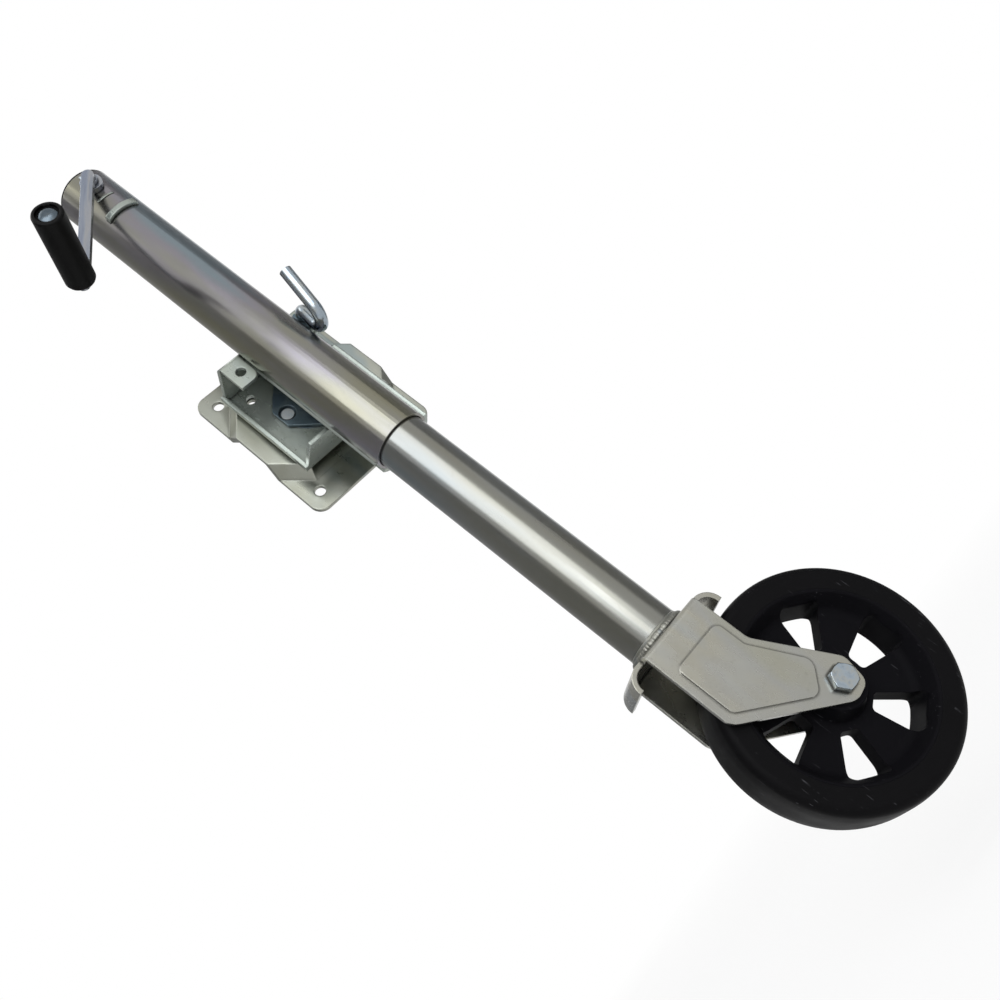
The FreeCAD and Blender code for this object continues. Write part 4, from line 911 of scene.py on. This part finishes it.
@dataclass
class JockeyWheel:
    """Moulded rim and solid tyre."""

    body: str = "wheel"
    rim_sharp_deg: float = 40.0
    rim_round_mm: float = 1.6

    def build(self, shop: Workshop) -> None:
        """Dress the wheel.

        Args:
            shop: makes the copies.
        """
        shop.dress("wheel_rim", WHEEL_BLACK, self.body, self.rim_sharp_deg,
                   self.rim_round_mm)
        shop.dress("tyre", TYRE_BLACK, self.body)


@dataclass(frozen=True)
class Lamp:
    """A soft rectangular lamp aimed at the jack.

    Attributes:
        name: the lamp's name.
        azimuth: degrees from +X towards +Y.
        elevation: degrees over the horizon.
        reach: metres from the jack's middle.
        size: width and height in metres.
        power: watts.
        colour: its light as an sRGB hex value.
    """

    name: str
    azimuth: float
    elevation: float
    reach: float
    size: tuple[float, float]
    power: float
    colour: str


@dataclass(frozen=True)
class Board:
    """A curved grey board that stands round part of the jack.

    Attributes:
        name: the board's name.
        first: azimuth of its first edge, degrees from +X towards +Y.
        last: azimuth of its last edge.
        reach: metres from the jack's middle.
        top: height of its upper edge in metres.
        steps: how many flat strips make its curve.
        level: its grey, in linear light.
    """

    name: str
    first: float
    last: float
    reach: float = 1.7
    top: float = 2.4
    steps: int = 24
    level: float = 0.45


@dataclass
class Studio:
    """Camera at the photograph's place, soft lamps, pale floor and white surround.

    Attributes:
        eye_mm: the camera's place.
        right: direction of the picture's right side.
        down: direction of the picture's lower side.
        focal_px: focal length in pixels of the photograph.
        image_px: the photograph's width in pixels.
        nearest: where the camera's view begins, in metres.
        farthest: where it ends, in metres.
        middle: what the lamps point at, in metres.
        plain_light: strength of the plain light from all round.
        floor_z: height of the floor in metres.
        floor_reach: half the floor's width in metres.
        floor_level: the floor's grey, in linear light.
        fade_span: metres from the origin between which the floor goes to white.
        fade_share: how white the camera sees it at the two ends.
        lamps: the lamps.
        boards: the grey boards.
    """

    eye_mm: tuple[float, float, float] = (-296.6, -794.2, -478.7)
    right: tuple[float, float, float] = (0.6574, -0.0179, -0.7533)
    down: tuple[float, float, float] = (-0.6521, 0.4874, -0.5807)
    focal_px: float = 990.33
    image_px: float = 1000.0
    nearest: float = 0.01
    farthest: float = 50.0
    middle: tuple[float, float, float] = (0.0, -0.08, -0.12)
    plain_light: float = 0.75
    floor_z: float = -0.66
    floor_reach: float = 6.0
    floor_level: float = 0.9
    fade_span: tuple[float, float] = (1.0, 2.4)
    fade_share: tuple[float, float] = (0.85, 1.0)
    lamps: tuple[Lamp, ...] = (
        Lamp("front_softbox", -103.0, 18.0, 2.3, (2.4, 1.35), 30.0, "#F8FBFF"),
        Lamp("low_softbox", -104.0, -1.0, 2.3, (0.9, 0.7), 3.5, "#F8FBFF"),
        Lamp("top_light", -150.0, 72.0, 2.0, (1.2, 1.2), 7.0, "#FFFFFF"))
    boards: tuple[Board, ...] = (Board("left_board", -150.0, -275.0),
                                 Board("right_board", -28.0, 35.0))

    def camera(self) -> None:
        """Create the camera and make it the scene's."""
        data = bpy.data.cameras.new("camera")
        data.sensor_fit = "HORIZONTAL"
        data.sensor_width = SENSOR_MM
        data.lens = SENSOR_MM * self.focal_px / self.image_px
        data.clip_start = self.nearest
        data.clip_end = self.farthest
        right = Vector(self.right).normalized()
        up = -Vector(self.down)
        up = (up - right * up.dot(right)).normalized()
        back = right.cross(up)
        turn = Matrix((right, up, back)).transposed().to_4x4()
        made = bpy.data.objects.new("camera", data)
        made.matrix_world = Matrix.Translation(Vector(self.eye_mm) * MM) @ turn
        bpy.context.scene.collection.objects.link(made)
        bpy.context.scene.camera = made

    def around(self, azimuth: float, elevation: float, reach: float) -> Vector:
        """A place round the jack.

        Args:
            azimuth: degrees from +X towards +Y.
            elevation: degrees over the horizon.
            reach: metres from the jack's middle.

        Returns:
            The place in metres.
        """
        turn, lift = math.radians(azimuth), math.radians(elevation)
        return Vector(self.middle) + reach * Vector((
            math.cos(lift) * math.cos(turn), math.cos(lift) * math.sin(turn), math.sin(lift)))

    def hang_lamp(self, lamp: Lamp) -> None:
        """Hang one lamp and point it at the jack.

        Args:
            lamp: the lamp.
        """
        data = bpy.data.lights.new(lamp.name, "AREA")
        data.shape = "RECTANGLE"
        data.size, data.size_y = lamp.size
        data.energy = lamp.power
        data.color = linear(lamp.colour)[:3]
        at = self.around(lamp.azimuth, lamp.elevation, lamp.reach)
        made = bpy.data.objects.new(lamp.name, data)
        made.rotation_euler = (Vector(self.middle) - at).to_track_quat("-Z", "Y").to_euler()
        made.location = at
        bpy.context.scene.collection.objects.link(made)

    def stand_board(self, board: Board) -> None:
        """Stand one board on the floor, the camera doesn't see it.

        Args:
            board: the board.
        """
        points, faces = [], []
        for n in range(board.steps + 1):
            azimuth = board.first + (board.last - board.first) * n / board.steps
            at = self.around(azimuth, 0.0, board.reach)
            points += [(at.x, at.y, self.floor_z), (at.x, at.y, board.top)]
        for n in range(board.steps):
            faces.append((2 * n, 2 * n + 2, 2 * n + 3, 2 * n + 1))
        mesh = bpy.data.meshes.new(board.name)
        mesh.from_pydata(points, [], faces)
        card = blank_material("grey_card_" + board.name)
        matt = add_node(card.node_tree, "ShaderNodeBsdfDiffuse", {"Color": grey(board.level)})
        add_node(card.node_tree, "ShaderNodeOutputMaterial", {"Surface": matt.outputs["BSDF"]})
        mesh.materials.append(card)
        made = bpy.data.objects.new(board.name, mesh)
        made.visible_camera = False
        bpy.context.scene.collection.objects.link(made)

    def surround(self) -> None:
        """White to the camera and in reflections, plain soft light on the object."""
        world = bpy.data.worlds.new("surround")
        bpy.context.scene.world = world
        world.use_nodes = True
        tree = world.node_tree
        tree.nodes.clear()
        path = add_node(tree, "ShaderNodeLightPath")
        seen = add_node(tree, "ShaderNodeMath", {
            0: path.outputs["Is Camera Ray"], 1: path.outputs["Is Transmission Ray"]},
            operation="MAXIMUM")
        seen = add_node(tree, "ShaderNodeMath", {
            0: seen.outputs["Value"], 1: path.outputs["Is Glossy Ray"]}, operation="MAXIMUM")
        white = add_node(tree, "ShaderNodeBackground", {"Color": grey(1.0), "Strength": 1.0})
        light = add_node(tree, "ShaderNodeBackground", {
            "Color": grey(1.0), "Strength": self.plain_light})
        either = add_node(tree, "ShaderNodeMixShader", {
            "Fac": seen.outputs["Value"], 1: light.outputs["Background"],
            2: white.outputs["Background"]})
        add_node(tree, "ShaderNodeOutputWorld", {"Surface": either.outputs["Shader"]})

    def floor(self) -> None:
        """Lay a plain pale floor under the jack, it keeps a soft shadow."""
        mesh = bpy.data.meshes.new("floor")
        reach, z = self.floor_reach, self.floor_z
        mesh.from_pydata([(-reach, -reach, z), (reach, -reach, z), (reach, reach, z),
                          (-reach, reach, z)], [], [(0, 1, 2, 3)])
        paper = blank_material("white_paper")
        tree = paper.node_tree
        path = add_node(tree, "ShaderNodeLightPath")
        seen = add_node(tree, "ShaderNodeMath", {
            0: path.outputs["Is Camera Ray"], 1: path.outputs["Is Glossy Ray"]},
            operation="MAXIMUM")
        # Away from the jack the paper goes to plain white, so no horizon line shows
        place = add_node(tree, "ShaderNodeTexCoord").outputs["Object"]
        away = add_node(tree, "ShaderNodeVectorMath", {0: place}, operation="LENGTH")
        pale = ranged(tree, away.outputs["Value"], self.fade_span, self.fade_share)
        share = add_node(tree, "ShaderNodeMath", {0: seen.outputs["Value"], 1: pale},
                         operation="MULTIPLY")
        matt = add_node(tree, "ShaderNodeBsdfDiffuse", {"Color": grey(self.floor_level)})
        white = add_node(tree, "ShaderNodeEmission", {"Color": grey(1.0), "Strength": 1.0})
        either = add_node(tree, "ShaderNodeMixShader", {
            "Fac": share.outputs["Value"], 1: matt.outputs["BSDF"],
            2: white.outputs["Emission"]})
        add_node(tree, "ShaderNodeOutputMaterial", {"Surface": either.outputs["Shader"]})
        mesh.materials.append(paper)
        made = bpy.data.objects.new("floor", mesh)
        bpy.context.scene.collection.objects.link(made)

    def build(self) -> None:
        """Set up the whole studio."""
        bpy.context.scene.view_settings.view_transform = "Standard"
        self.camera()
        self.surround()
        self.floor()
        for lamp in self.lamps:
            self.hang_lamp(lamp)
        for board in self.boards:
            self.stand_board(board)


def main() -> None:
    """Build the studio and every sub-assembly in order."""
    logging.basicConfig(level=logging.INFO, format="%(name)s %(message)s")
    Studio().build()
    shop = Workshop()
    for assembly in (MountingPlate(), Barrel(), LockPin(), Crank(), Leg(), JockeyWheel()):
        LOG.info("building %s", type(assembly).__name__)
        assembly.build(shop)


if __name__ == "__main__":
    main()
